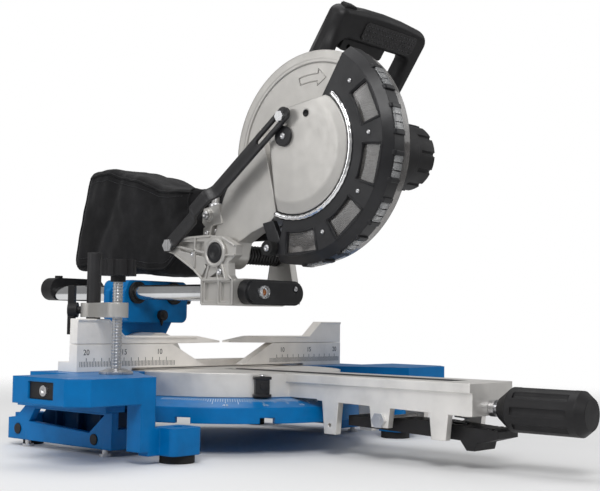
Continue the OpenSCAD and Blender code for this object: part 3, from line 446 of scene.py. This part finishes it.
def tube(points, radius, sides, closed=False):
    """Vertices and faces of a tube along points."""
    points = [Vector(p) for p in points]
    count = len(points)
    verts = []
    side = None
    for i, p in enumerate(points):
        before = points[i - 1] if closed or i else p
        after = points[(i + 1) % count] if closed or i < count - 1 else p
        way = (after - before).normalized()
        if side is None:
            side = way.orthogonal().normalized()
        side = (side - way * side.dot(way)).normalized()
        over = way.cross(side)
        verts += [p + radius * (math.cos(a) * side + math.sin(a) * over) for a in angles(sides)]
    return verts, loft_faces(count, sides, closed)


def join(parts):
    """One list of vertices and faces from several."""
    verts, faces = [], []
    for v, f in parts:
        base = len(verts)
        verts += list(v)
        faces += [tuple(i + base for i in face) for face in f]
    return verts, faces


def block(origin, a, b, c):
    """A small box from a corner and three edge vectors."""
    o, a, b, c = (Vector(v) for v in (origin, a, b, c))
    verts = [o, o + a, o + a + b, o + b, o + c, o + a + c, o + a + b + c, o + b + c]
    faces = [(0, 3, 2, 1), (4, 5, 6, 7), (0, 1, 5, 4), (1, 2, 6, 5), (2, 3, 7, 6), (3, 0, 4, 7)]
    return verts, faces


def spin(profile, at, axis="X", steps=48):
    """A turned form: profile is (along, radius) about an axis through at."""
    verts = []
    for along, radius in profile:
        for a in angles(steps):
            u, v = radius * math.cos(a), radius * math.sin(a)
            offset = {"X": (along, u, v), "Y": (u, along, v), "Z": (u, v, along)}[axis]
            verts.append(Vector(at) + Vector(offset))
    return verts, loft_faces(len(profile), steps)


def plate(x0, x1, outline):
    """A flat piece in the side view, from (y, z) points."""
    return [Vector((x, *p)) for x in (x0, x1) for p in outline], prism_faces(len(outline))


def numerals(name, text, at, size, face, material, body):
    """Plain scale numbers: at is the middle of the text, face gives its right and up directions."""
    data = bpy.data.curves.new(name, "FONT")
    data.body = text
    data.size = size * MM
    data.extrude = NUMBER_RISE * MM
    data.align_x = "CENTER"
    data.align_y = "CENTER"
    source = add_object(name + "_text", data)
    shape = baked(source)
    bpy.data.objects.remove(source)
    right, up = (Vector(v).normalized() for v in face)
    turn = Matrix((right, up, right.cross(up))).transposed().to_4x4()
    shape.transform(Matrix.Translation(Vector(at) * MM) @ turn)
    shape.materials.clear()
    shape.materials.append(material)
    obj = add_object(name, shape)
    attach(obj, body)


def screw_head(at, radius, height, axis="X", sign=-1):
    """A pan head with a round recess."""
    profile = [(0, 1.0), (0.5, 1.0), (0.85, 0.85), (1.0, 0.5), (0.95, 0.42), (0.35, 0.36), (0.3, 0.05)]
    return spin([(sign * height * a, radius * r) for a, r in profile], at, axis, 20)


# Dust bag

NECK = (35.0, TABLE + 190.0)
NECK_R = 20.6
BAG_Y0, BAG_Y1, BAG_END = 15.0, 276.0, 24
BAG_HALF = 48
BAG_ROWS, BAG_AROUND = 96, 128
SEAM_ANGLES, SEAM_STEPS = (138, 222, 318, 42), 70
STITCH_ANGLES, STITCHES, STITCH = (143, 217), 56, 2.2


def smoothstep(a, b, x):
    t = min(1.0, max(0.0, (x - a) / (b - a)))
    return t * t * (3 - 2 * t)


def mix(a, b, t):
    return a + (b - a) * t


def bag_section(y):
    """Middle, half sizes and squareness of the bag's section at y."""
    full = smoothstep(36, 74, y)
    bottom = TABLE + mix(106, 113, smoothstep(100, 262, y))
    roof = TABLE + mix(209, 245, smoothstep(45, 215, y))
    low = mix(NECK[1] - NECK_R, bottom, smoothstep(38, 96, y))
    high = mix(NECK[1] + NECK_R, roof, full)
    close = max(0.0, (y - (BAG_Y1 - BAG_END)) / BAG_END)
    round_off = math.sqrt(max(0.0, 1 - close ** 2.4))
    half_w = mix(NECK_R, BAG_HALF, full) * mix(1.0, 0.55, close * close)
    half_h = (high - low) / 2 * mix(1.0, round_off, 0.72)
    return (high + low) / 2, half_w, half_h, mix(2.0, 9.0, full)


def bag_fold(y, angle):
    """Inward and outward folds of the cloth, in millimetres."""
    c, s = math.cos(angle), math.sin(angle)
    full, side = smoothstep(40, 90, y), abs(c)
    drape = 0.8 * math.sin(0.085 * y + 2.2 * s) * side
    crease = -1.8 * math.exp(-((y - 92 - 26 * s) / 9) ** 2)
    crease -= 1.5 * math.exp(-((y - 205 + 34 * s) / 8) ** 2) * side
    sag = -1.2 * math.exp(-((s + 0.15) / 0.5) ** 2) * side
    crumple = 1.7 * noise.noise(Vector((y * 0.021, c * 1.3, s * 1.6)))
    crumple += 1.3 * noise.noise(Vector((y * 0.06, c * 3.1 + 7, s * 3.4)))
    gather = 0.8 * math.cos(14 * angle) * math.exp(-((y - 52) / 14) ** 2)
    return full * (drape + crease + sag + crumple - 1.8) + gather


def bag_point(y, angle, lift=0.0):
    """A point of the cloth, lifted off it by some millimetres. The back of the bag leans forward."""
    middle, half_w, half_h, square = bag_section(y)
    c, s = math.cos(angle), math.sin(angle)
    reach = (abs(c) ** square + abs(s) ** square) ** (-1 / square)
    grow = bag_fold(y, angle) + lift
    x = NECK[0] + (half_w + grow) * reach * c
    z = middle + (half_h + grow) * reach * s
    lean = 0.22 * smoothstep(150, BAG_Y1, y) * max(0.0, z - (TABLE + 130))
    return (x, y - lean, z)


def bag_ring(y, count, lift=0.0):
    return [bag_point(y, a, lift) for a in angles(count)]


def make_bag():
    """The cloth with its seams, stitches and elastic collar."""
    verts = []
    for i in range(BAG_ROWS):
        verts += bag_ring(mix(BAG_Y0, BAG_Y1, i / (BAG_ROWS - 1)), BAG_AROUND)
    bag = piece("cloth_bag", verts, loft_faces(BAG_ROWS, BAG_AROUND), cloth, "head", "bag_cloth")
    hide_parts("dust_bag")
    seams = []
    for angle in (math.radians(a) for a in SEAM_ANGLES):
        places = [mix(58, BAG_Y1 - 5, i / SEAM_STEPS) for i in range(SEAM_STEPS + 1)]
        seams.append(tube([bag_point(y, angle, 0.5) for y in places], 1.5, 8))
    for y in (60.0, BAG_Y1 - 16):
        seams.append(tube(bag_ring(y, 120, 0.4), 1.4, 8, closed=True))
    piece("bag_seams", *join(seams), piping, "head", "bag_cloth")
    stitches = []
    for angle in (math.radians(a) for a in STITCH_ANGLES):
        for i in range(STITCHES):
            start = mix(66, BAG_Y1 - BAG_END, i / STITCHES)
            ends = [bag_point(y, angle, 0.3) for y in (start, start + STITCH)]
            stitches.append(tube(ends, 0.35, 6))
    piece("bag_stitches", *join(stitches), ink, "head", "bag_cloth")
    elastic = [tube(bag_ring(y, 96, 1.0), 1.6, 10, closed=True) for y in (28, 34)]
    piece("bag_elastic", *join(elastic), piping, "head", "bag_cloth")


make_bag()


# Scales

LINE_WIDE, LINE_RISE = 0.6, 0.2
RING_IN, RING_WIDE = 135.0, 30.0
RING_TOP, RING_LOW = TABLE - 25.0, TABLE - 33.0
MITRE_LINE_R, MITRE_NUMBER_R = 139.0, 157.5


def fence_scale(side, name):
    """Centimetre numbers and a line every two millimetres on the fence, counted from the blade."""
    marks = []
    for mm in range(78, 209, 2):
        tall = 9.0 if mm % 10 == 0 else 5.5
        if mm < 90:
            tall = min(tall, 5.0)
        corner = (side * mm - LINE_WIDE / 2, -0.12, TABLE + 5)
        marks.append(block(corner, (LINE_WIDE, 0, 0), (0, LINE_RISE, 0), (0, 0, tall)))
    piece("fence_lines_" + name, *join(marks), ink, "base", "bare_alloy", smooth=False)
    for cm in (10, 15, 20):
        at = (side * cm * 10, -0.05, TABLE + 19.5)
        numerals(f"fence_number_{name}_{cm}", str(cm), at, 8.0, ((1, 0, 0), (0, 0, 1)), ink, "base")


def on_ring(r, angle):
    """A point on the sloping edge of the base ring."""
    z = mix(RING_TOP, RING_LOW, (r - RING_IN) / RING_WIDE)
    return Vector((r * math.sin(angle), -r * math.cos(angle), z + 0.05))


def mitre_scale():
    """Degree lines and numbers on the base ring. The lines near its ends are short."""
    marks = []
    for degree in range(-72, 73):
        angle = math.radians(degree)
        reach = 15.0 if degree % 10 == 0 else 12.0 if degree % 5 == 0 else 8.0
        reach = reach if abs(degree) <= 52 else 5.0
        a, b = on_ring(MITRE_LINE_R, angle), on_ring(MITRE_LINE_R + reach, angle)
        across = Vector((math.cos(angle), math.sin(angle), 0)) * LINE_WIDE
        marks.append(block(a - across / 2, b - a, across, (0, 0, LINE_RISE)))
    piece("mitre_lines", *join(marks), pale_ink, "base", "blue_cast", smooth=False)
    for degree in range(-45, 46, 15):
        angle = math.radians(degree)
        right = (math.cos(angle), math.sin(angle), 0)
        up = on_ring(140, angle) - on_ring(160, angle)
        at = on_ring(MITRE_NUMBER_R, angle) + Vector((0, 0, 0.15))
        numerals(f"mitre_number_{degree + 45}", str(abs(degree)), at, 6.5, (right, up), pale_ink, "base")


fence_scale(-1, "left")
fence_scale(1, "right")
mitre_scale()


# Upper guard arrow

def side_point(x, radius, degrees):
    """A point round the blade's middle in the side view: degrees run from the front upwards."""
    a = math.radians(degrees)
    return Vector((x, BLADE[0] - radius * math.cos(a), BLADE[1] + radius * math.sin(a)))


def turning_arrow():
    """The raised outline of an arrow that shows which way the blade turns."""
    x = -7.6
    inner, outer = ([side_point(x, r, 104 - i) for i in range(19)] for r in (78, 86))
    head = [side_point(x, r, a) for r, a in ((91, 86), (82, 78), (73, 86))]
    path = outer + head + inner[::-1]
    piece("turning_arrow", *tube(path, 0.75, 8, closed=True), silver_paint, "head", "silver_cast")


turning_arrow()


# Lower guard

FACE = -34.0
RIM_IN, RIM_OUT = 118.9, 121.7
WINDOWS = [24.4 - 36.7 * i for i in range(4)]
STRUTS = [43.0, 6.0, -30.7, -67.3]
NOTCHES = [34.0 - 23.0 * i for i in range(6)]
ARC_STEPS, TRIM_STEPS = 12, 90


def arc(x, radius, start, stop):
    return [side_point(x, radius, mix(start, stop, i / ARC_STEPS)) for i in range(ARC_STEPS + 1)]


def guard_trim():
    """Bright ring beside the hub plate, lips round the windows and screws on the struts."""
    section = [(-34.0, 70.0), (-36.2, 70.6), (-37.2, 72.2), (-36.0, 74.6), (-34.0, 76.0)]
    verts = []
    for i in range(TRIM_STEPS + 1):
        angle, ripple = mix(50, -113, i / TRIM_STEPS), 0.25 * math.sin(i * 1.7)
        verts += [side_point(x, r + ripple, angle) for x, r in section]
    faces = loft_faces(TRIM_STEPS + 1, len(section))
    piece("guard_bright_ring", verts, faces, bright_edge, "lower_guard", "steel")
    lips = []
    for middle in WINDOWS:
        path = arc(FACE - 0.2, 87.6, middle - 12.4, middle + 12.4)
        path += arc(FACE - 0.2, 112.0, middle + 11.6, middle - 11.6)
        lips.append(tube(path, 0.9, 8, closed=True))
    piece("guard_window_lips", *join(lips), smooth_black, "lower_guard", "black_plastic")
    screws = [screw_head(side_point(FACE, 96, a), 2.3, 1.4) for a in STRUTS]
    piece("guard_screws", *join(screws), zinc, "lower_guard", "steel")


def rim_part(start, stop, section):
    """A short length of the guard's rim between two angles, from a closed (x, radius) section."""
    turns = (start, (start + stop) / 2, stop)
    verts = [side_point(x, r, a) for a in turns for x, r in section]
    return verts, loft_faces(len(turns), len(section))


def rim_blocks():
    """Clear ribbed blocks in the notches of the rim, with a black lip on each side."""
    clear_section = [
        (-24.4, RIM_IN), (-24.0, RIM_OUT + 1.0), (-22.6, RIM_OUT + 2.0),
        (-12.4, RIM_OUT + 2.0), (-11.2, RIM_OUT + 1.0), (-10.8, RIM_IN),
    ]
    lip_section = [
        (-27.6, 117.5), (-26.8, RIM_OUT + 0.9), (-24.6, RIM_OUT + 2.3),
        (-10.6, RIM_OUT + 2.3), (-9.4, RIM_OUT + 1.2), (-9.2, RIM_IN),
    ]
    rib_angles = ((-5.2, -2.2), (-1.6, 1.6), (2.2, 5.2))
    lip_angles = ((-7.6, -5.4), (5.4, 7.6))
    blocks, lips = [], []
    for middle in NOTCHES:
        blocks += [rim_part(middle + a, middle + b, clear_section) for a, b in rib_angles]
        lips += [rim_part(middle + a, middle + b, lip_section) for a, b in lip_angles]
    piece("guard_clear_blocks", *join(blocks), glassy, "lower_guard", "clear_plastic", smooth=False)
    crisp_piece("guard_rim_lips", join(lips), smooth_black, "lower_guard", "black_plastic", 0.4)


guard_trim()
rim_blocks()


# Link bar

LINK_X, LINK_BEND = (-47.8, -43.8), 8.0
LINK_HALF, LINK_TAIL = 7.5, 4
SLOT_HALF, SLOT_LENGTH = 3.0, 40


def quarter_turn(steps):
    return [math.pi / 2 * i / steps for i in range(steps + 1)]


def make_link():
    """A flat bar with a slot, bent out towards the near side between its ends."""
    a, b = Vector((0, *LINK_A)), Vector((0, *LINK_L))
    way = (b - a).normalized()
    side = Vector((1, 0, 0)).cross(way)
    length = (b - a).length
    slot0, slot1 = length - SLOT_LENGTH, length
    marks = [-LINK_HALF * math.cos(t) for t in quarter_turn(8)]
    marks += [46 + i * 2.5 for i in range(7)] + [82 + i * 2.5 for i in range(7)]
    marks += [slot0 - SLOT_HALF * math.cos(t) for t in quarter_turn(5)]
    marks += [slot1 + SLOT_HALF * math.sin(t) for t in quarter_turn(5)]
    marks += [length + LINK_TAIL + LINK_HALF * math.sin(t) for t in quarter_turn(8)]
    rows = sorted(set(round(m, 3) for m in marks))
    verts, faces = [], []
    for s in rows:
        past = min(0.0, s) ** 2 + max(0.0, s - length - LINK_TAIL) ** 2
        reach = math.sqrt(max(0.0, LINK_HALF ** 2 - past))
        off = max(slot0 - s, s - slot1, 0.0)
        open_half = math.sqrt(max(0.0, SLOT_HALF ** 2 - off ** 2))
        out = -LINK_BEND * (smoothstep(47, 60, s) - smoothstep(83, 96, s))
        for x in LINK_X:
            for t in (-reach, -open_half, open_half, reach):
                verts.append(a + way * s + side * t + Vector((x + out, 0, 0)))
    for i in range(len(rows) - 1):
        p, q = 8 * i, 8 * i + 8
        for k in (0, 2, 4, 6):
            faces.append((p + k, p + k + 1, q + k + 1, q + k))
        for k, n in ((0, 4), (3, 7), (1, 5), (2, 6)):
            faces.append((p + k, p + n, q + n, q + k))
    bar = crisp_piece("bent_link_bar", (verts, faces), black_steel, "link", "black_steel", 0.4)
    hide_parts("link_bar")


make_link()


# Handle

GRIP_BASE = (BLADE[0] + 23.0, BLADE[1] + 98.0)
GRIP_LEAN = math.radians(34)
GRIP_X = (7.0, 172.0)
GRIP_TOP, GRIP_ARCH, BAR_LOW, LEG = 78.0, 5.0, 44.0, 20.0
NEAR_FOOT, FAR_FOOT = -2, -52
GRIP_HALF, GRIP_ROUND, GRIP_ROWS = 12.0, 6.5, 15
CORNER_STEPS = 8
TRIGGER_POCKET = (33.7, 109.3, 7.3, 20, 57)
BUTTON_POCKET = (15.7, 34.3, 5.3, 69, 90)


def grip_point(x, out, up):
    """A point of the leaning handle: across, out of its plane and up along it."""
    c, s = math.cos(GRIP_LEAN), math.sin(GRIP_LEAN)
    return Vector((x, GRIP_BASE[0] + out * c - up * s, GRIP_BASE[1] + out * s + up * c))


def rounded_path(corners):
    """A closed outline with its corners rounded: corners are (x, up, radius)."""
    path = []
    for i, (x, up, radius) in enumerate(corners):
        here = Vector((x, up))
        before = (Vector(corners[i - 1][:2]) - here).normalized()
        after = (Vector(corners[(i + 1) % len(corners)][:2]) - here).normalized()
        half = before.angle(after) / 2
        cut = radius / math.tan(half)
        middle = here + (before + after).normalized() * radius / math.sin(half)
        a, b = here + before * cut - middle, here + after * cut - middle
        for k in range(CORNER_STEPS + 1):
            way = (a * (1 - k / CORNER_STEPS) + b * (k / CORNER_STEPS)).normalized()
            path.append(middle + way * radius)
    return path


def hollow(obj, pockets):
    """Cuts plain pockets into the handle: (x0, x1, half thickness, up0, up1)."""
    cuts = []
    for x0, x1, half, up0, up1 in pockets:
        o = grip_point(x0, -half, up0)
        deep, tall = grip_point(x0, half, up0) - o, grip_point(x0, -half, up1) - o
        cuts.append(block(o, (x1 - x0, 0, 0), deep, tall))
    verts, faces = join(cuts)
    mesh = bpy.data.meshes.new("pockets")
    mesh.from_pydata([v * MM for v in verts], [], faces)
    cutter = add_object("pockets", mesh)
    cut = obj.modifiers.new("pockets", "BOOLEAN")
    cut.operation = "DIFFERENCE"
    cut.solver = "EXACT"
    cut.object = cutter
    shape = baked(obj)
    obj.modifiers.remove(cut)
    obj.data = shape
    bpy.data.objects.remove(cutter)


def make_handle():
    """The moulded loop handle: an arched bar on two legs with well rounded edges."""
    x0, x1 = GRIP_X
    arch = []
    for t in (0.3, 0.5, 0.7):
        arch.append((mix(x0, x1, t), GRIP_TOP + GRIP_ARCH * math.sin(math.pi * t), 30))
    path = rounded_path([
        (x0, NEAR_FOOT, 0.5), (x0, GRIP_TOP, 12), *arch, (x1, GRIP_TOP, 16),
        (x1, FAR_FOOT, 0.5), (x1 - LEG, FAR_FOOT, 0.5), (x1 - LEG - 1, BAR_LOW, 9),
        (x0 + LEG + 1, BAR_LOW, 9), (x0 + LEG, NEAR_FOOT, 0.5),
    ])
    count = len(path)
    normals = []
    for i in range(count):
        way = (path[(i + 1) % count] - path[i - 1]).normalized()
        normals.append(Vector((way.y, -way.x)))
    verts = []
    for j in range(GRIP_ROWS):
        turn = math.pi * (j / (GRIP_ROWS - 1) - 0.5)
        inset = GRIP_ROUND * (1 - math.cos(turn))
        for p, n in zip(path, normals):
            q = p + n * inset
            verts.append(grip_point(q.x, GRIP_HALF * math.sin(turn), q.y))
    faces = loft_faces(GRIP_ROWS, count, ends=False)
    flat = tessellate_polygon([[(p.x, p.y, 0) for p in path]])
    starts = (0, (GRIP_ROWS - 1) * count)
    faces += [tuple(i + start for i in tri) for tri in flat for start in starts]
    shell = piece("round_handle", verts, faces, black_plastic, "head", "black_plastic")
    hollow(shell, (TRIGGER_POCKET, BUTTON_POCKET))
    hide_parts("handle_shell")
    dots = []
    for i in range(18):
        for up in (BAR_LOW + 9 + 5 * k for k in range(4)):
            at = grip_point(56 + 5.1 * i, -GRIP_HALF - 1.4, up)
            dots.append(spin([(0, 1.1), (-0.5, 0.9), (-0.9, 0.3)], at, "Y", 8))
    piece("grip_dots", *join(dots), ink, "head", "soft_black")


make_handle()


# Small fittings

FENCE_TOP = [(46, 36.5), (150, 36.5), (172, 54), (211.5, 54)]
RIB_X, RIB_WIDE = -43.5, 2.6
WEB_X = 172
POINTER_TURN, POINTER_IN = -29, 133.2


def clamp_thread():
    """The thread of the clamp screw as a fine helix."""
    turns, per_turn, radius = 26, 14, 4.6
    last = turns * per_turn
    path = []
    for i in range(last + 1):
        a = math.tau * i / per_turn
        x, y = CLAMP_X + radius * math.cos(a), CLAMP_Y + radius * math.sin(a)
        path.append((x, y, mix(TABLE + 6, TABLE + 90, i / last)))
    piece("clamp_thread", *tube(path, 0.75, 6), zinc, "clamp_screw", "steel")


def laser_lens():
    """The laser's clear tube with its lens."""
    at = (LASER_X, 0, RAIL)
    rim = [(-63.0, 7.2), (-70.6, 7.2), (-71.4, 6.7), (-71.4, 5.6), (-70.8, 5.1), (-63.0, 5.0)]
    piece("laser_tube", *spin(rim, at, "Y", 40), glassy, "carriage", "clear_plastic")
    profile = [(-69.0, 0.6), (-68.8, 2.4), (-67.8, 3.6), (-66.8, 4.3), (-64.2, 4.3)]
    piece("laser_lens", *spin(profile, at, "Y", 28), amber, "carriage", "black_plastic")


def fence_lips():
    """The flange along the top of the sliding fences, on the (x, height) corners of FENCE_TOP."""
    sides = ((-1, "fence_lip_left", "upper_fence_left"), (1, "fence_lip_right", "upper_fence_right"))
    for side, name, body in sides:
        parts = []
        for (x0, z0), (x1, z1) in zip(FENCE_TOP, FENCE_TOP[1:]):
            a, b = Vector((side * x0, 0.2, TABLE + z0)), Vector((side * x1, 0.2, TABLE + z1))
            up = Vector((0, 0, 1)) if z0 == z1 else Vector((0, 0, 0.8))
            parts.append(block(a - up * 2.2 + Vector((0, -1.6, 0)), b - a, (0, 1.8, 0), up * 2.1))
        crisp_piece(name, join(parts), fence_alloy, body, "bare_alloy", 0.4)


def carrier_bolts():
    """Two screws on the near side of the carrier and one on the front cover."""
    screws = [
        screw_head((-41.6, -31.0, TABLE + 108), 4.0, 2.6),
        screw_head((-41.6, 12.0, TABLE + 128), 3.0, 2.0),
        screw_head((LASER_X + 55, -66, TABLE + 91), 3.0, 1.6, "Y"),
    ]
    piece("carriage_screws", *join(screws), zinc, "carriage", "steel")


def rib(a, b):
    """A straight rib on the near cheek of the carrier between two (y, z) points."""
    a, b = Vector(a), Vector(b)
    way = (b - a).normalized() * RIB_WIDE / 2
    side = Vector((-way.y, way.x))
    return plate(RIB_X, CHEEK, [tuple(v) for v in (a + side, b + side, b - side, a - side)])


def carrier_ribs():
    """The raised walls and cross ribs on the near cheek of the carrier, with its pivot boss."""
    (py, pz), (ay, az) = PIVOT, LINK_A
    low, edge, high = RAIL - 14, RAIL + 13, RAIL + 14
    walls = [
        ((-51, low), (-51, RAIL + 12)),
        ((-51, RAIL + 12), (-45, RAIL + 18)),
        ((-4, low), (-4, high)),
        ((-51, low), (-4, low)),
        ((-51, edge), (-4, edge)),
        ((-30, low), (-30, edge)),
        ((-4, high), (py + 34, pz - 18)),
        ((py + 34, pz - 18), (ay - 6, az - 10)),
        ((py + 10, pz + 19), (ay + 4, az + 7)),
        ((py + 14, pz), (ay - 9, az - 1)),
        ((py + 34, pz - 16), (py + 33, pz + 17)),
        ((py + 10, pz - 11), (-9, high)),
        ((py - 9, pz - 12), (-40, high)),
        ((py - 9, pz + 17), (-54, pz + 7)),
        ((-54, pz - 3), (py - 13, pz - 3)),
        ((py - 2, pz - 14), (py - 4, high)),
    ]
    ribs = [rib(a, b) for a, b in walls]
    crisp_piece("carrier_ribs", join(ribs), silver_paint, "carriage", "silver_cast", 0.5)
    boss = [(CHEEK, 16.0), (-44.8, 16.0), (-45.4, 15.4), (-45.4, 12.2), (-44.6, 11.6), (CHEEK, 11.6)]
    piece("pivot_boss", *spin(boss, (0, *PIVOT)), silver_paint, "carriage", "silver_cast")
    cap = [(CHEEK, 11.4), (-44.4, 11.4), (-45.0, 10.8), (-45.4, 6.0), (-44.9, 5.4), (-44.9, 0.4)]
    piece("pivot_cap", *spin(cap, (0, *PIVOT)), smooth_black, "carriage", "black_plastic")


def depth_stop():
    """The depth stop on the back of the head: lugs, a threaded rod with two nuts and two screws."""
    x, y, z = -18, 1.0, PIVOT[1]

    def nut(low, high):
        return spin([(low, 7.6), (low + 1, 8), (high - 1, 8), (high, 7.6)], (x, y, 0), "Z", 6)

    upper = [(y - 20, z + 34), (y + 6, z + 30), (y + 12, z + 36), (y + 10, z + 52), (y - 14, z + 56)]
    lower = [(y - 2, z + 16), (y + 9, z + 18), (y + 8, z + 30), (y - 6, z + 33)]
    boss = spin([(-31, 6.2), (-30, 7.0), (-12, 7.0), (-11, 6.2)], (0, y + 2, z + 44), "X", 24)
    lugs = [plate(-27.5, -9, upper), plate(-29, -12, lower), boss]
    crisp_piece("depth_stop_lugs", join(lugs), silver_paint, "head", "silver_cast", 1.0)
    thread = []
    for i in range(280):
        a = i * 0.6
        thread.append((x + 4.3 * math.cos(a), y + 4.3 * math.sin(a), z + 20 + i * 0.165))
    screws = [
        tube(thread, 0.55, 6), nut(z + 52, z + 58), nut(z + 24, z + 29),
        screw_head((-31, y + 2, z + 44), 4.5, 3.2), screw_head((-29, y + 2, z + 24), 3.4, 2.4),
    ]
    piece("depth_stop_screws", *join(screws), zinc, "head", "steel")


def arm_details():
    """The bracket of the head's rubber stop, a black wall behind it that is partly housing and partly
    painted shade, two screws, and a black cup of painted shade in the guard plate's hole.
    """
    bracket = [(-95, 245), (-80, 242.5), (-92.4, 214.1), (-100.5, 205.9), (-109, 217), (-102, 232)]
    shape = plate(-27.0, -19.4, bracket)
    crisp_piece("stop_bracket", shape, smooth_black, "head", "black_plastic", 0.8)
    # A black wall behind the arm: partly the lower part of the gear housing and partly painted shade
    # filling the gap between the arm and the spring.
    wall = [
        (-34, 226), (-66, 226), (-74, 229), (-84, 226),
        (-98, 216), (-116, 222), (-112, 262), (-60, 262),
    ]
    shape = plate(2.0, 9.0, wall)
    crisp_piece("housing_and_shade_wall", shape, black_plastic, "head", "black_plastic", 1.0)
    screws = [screw_head((-42, -100.5, 214), 3.6, 1.4), screw_head((-41.4, *GUARD), 3.4, 1.2)]
    piece("head_screws", *join(screws), zinc, "head", "steel")
    # A black cup in the guard plate's hole: painted shade for the dark inside of the hole.
    hole = [
        (-35.0, 0.4), (-35.0, 3.7), (-37.6, 3.9), (-37.9, 3.9),
        (-37.9, 3.4), (-35.6, 3.2), (-35.6, 0.3),
    ]
    at = (0, LINK_L[0] - 27, LINK_L[1] + 2)
    piece("plate_hole_shade", *spin(hole, at, "X", 24), black_plastic, "lower_guard", "black_plastic")


def pointer_cover():
    """The upright housing of the mitre pointer with its screw: a body and a lip at each end."""
    turn = Matrix.Rotation(math.radians(POINTER_TURN), 3, "Z")
    parts = []
    for half, outer, z0, z1 in ((3.2, 139.5, 60, 77), (3.9, 140.5, 58, 61), (3.9, 140.5, 76, 79)):
        h = math.radians(half)
        corners = ((POINTER_IN, -h), (POINTER_IN, h), (outer, h), (outer + 2, 0), (outer, -h))
        ring = [Vector((r * math.sin(a), -r * math.cos(a), 0)) for r, a in corners]
        verts = [turn @ (v + Vector((0, 0, z))) for z in (z0, z1) for v in ring]
        parts.append((verts, prism_faces(len(ring))))
    crisp_piece("pointer_cover", join(parts), smooth_black, "turntable", "black_plastic", 0.5)
    top = turn @ Vector((0, -137.5, 79))
    piece("pointer_screw", *screw_head(top, 3.0, 2.2, "Z", 1), zinc, "turntable", "steel")


def inner_webs():
    """The ribbed inner walls of the base behind the windows of the side frames, coloured a very dark blue
    as painted shade for the dark inside of the base.
    """
    for side, name in ((-1, "inner_web_left"), (1, "inner_web_right")):
        x = side * WEB_X
        parts = [plate(x, x + side * 3, [(-44, 12), (104, 12), (104, 30), (92, 43), (-44, 43)])]
        for y in (-6, 30, 66):
            parts.append(plate(x, x + side * 12, [(y, 13), (y + 3, 13), (y + 3, 42), (y, 42)]))
        crisp_piece(name, join(parts), painted_shade_blue, "base", "blue_cast", 0.6)


clamp_thread()
laser_lens()
fence_lips()
carrier_bolts()
carrier_ribs()
depth_stop()
arm_details()
pointer_cover()
inner_webs()


# Light and floor

FLOOR_R, FLOOR_STEPS = 3.0, 96
FADE_FROM, FADE_TO = 0.55, 1.5
SURROUND = 0.27
WHITE = (1, 1, 1, 1)


def make_stage():
    """A round white floor that fades into the white surroundings."""
    verts = [(FLOOR_R * math.cos(a), FLOOR_R * math.sin(a), 0) for a in angles(FLOOR_STEPS)]
    floor = bpy.data.meshes.new("floor")
    floor.from_pydata(verts, [], [tuple(range(FLOOR_STEPS))])
    g = Graph("floor_white")
    g.colour(g.ramp(g.noise(3, 3), [(0.3, (0.80, 0.80, 0.805)), (0.7, (0.82, 0.82, 0.82))]))
    g.set(Roughness=0.6, Specular_IOR_Level=0.2)
    distance = g.tree.nodes.new("ShaderNodeVectorMath")
    distance.operation = "LENGTH"
    g.link(g.place, distance.inputs[0])
    fade = g.tree.nodes.new("ShaderNodeMapRange")
    fade.interpolation_type = "SMOOTHSTEP"
    for name, value in (("From Min", FADE_FROM), ("From Max", FADE_TO), ("To Min", 1.0), ("To Max", 0.0)):
        fade.inputs[name].default_value = value
    g.link(distance.outputs["Value"], fade.inputs["Value"])
    g.link(fade.outputs["Result"], g.shader.inputs["Alpha"])
    floor.materials.append(g.material)
    obj = add_object("floor", floor)


def area_light(name, at, size, power):
    """A rectangular lamp that points at the middle of the saw."""
    data = bpy.data.lights.new(name, "AREA")
    data.shape = "RECTANGLE"
    data.size, data.size_y = size
    data.energy = power
    light = add_object(name, data)
    light.location = at
    middle = Vector((0, -0.05, 0.25))
    light.rotation_euler = (middle - Vector(at)).to_track_quat("-Z", "Y").to_euler()


def make_light():
    """Dim surroundings that look white behind the saw and through clear pieces, and four lamps."""
    world = bpy.data.worlds.new("studio")
    scene.world = world
    world.use_nodes = True
    tree = world.node_tree
    back = tree.nodes["Background"]
    back.inputs["Color"].default_value = WHITE
    back.inputs["Strength"].default_value = SURROUND
    white = tree.nodes.new("ShaderNodeBackground")
    white.inputs["Color"].default_value = WHITE
    rays = tree.nodes.new("ShaderNodeLightPath")
    seen = tree.nodes.new("ShaderNodeMath")
    seen.operation = "MAXIMUM"
    tree.links.new(rays.outputs["Is Camera Ray"], seen.inputs[0])
    tree.links.new(rays.outputs["Is Transmission Ray"], seen.inputs[1])
    choose = tree.nodes.new("ShaderNodeMixShader")
    tree.links.new(seen.outputs["Value"], choose.inputs["Fac"])
    tree.links.new(back.outputs["Background"], choose.inputs[1])
    tree.links.new(white.outputs["Background"], choose.inputs[2])
    tree.links.new(choose.outputs["Shader"], tree.nodes["World Output"].inputs["Surface"])
    area_light("key", (-1.9, -1.6, 2.3), (1.3, 1.3), 56)
    area_light("side", (-2.4, 1.2, 1.3), (1.2, 1.8), 16)
    area_light("right", (2.2, -1.5, 1.6), (1.4, 1.8), 10)
    area_light("top", (0.2, 0.4, 2.8), (2.4, 2.4), 34)


make_stage()
make_light()
scene.view_settings.view_transform = "Standard"
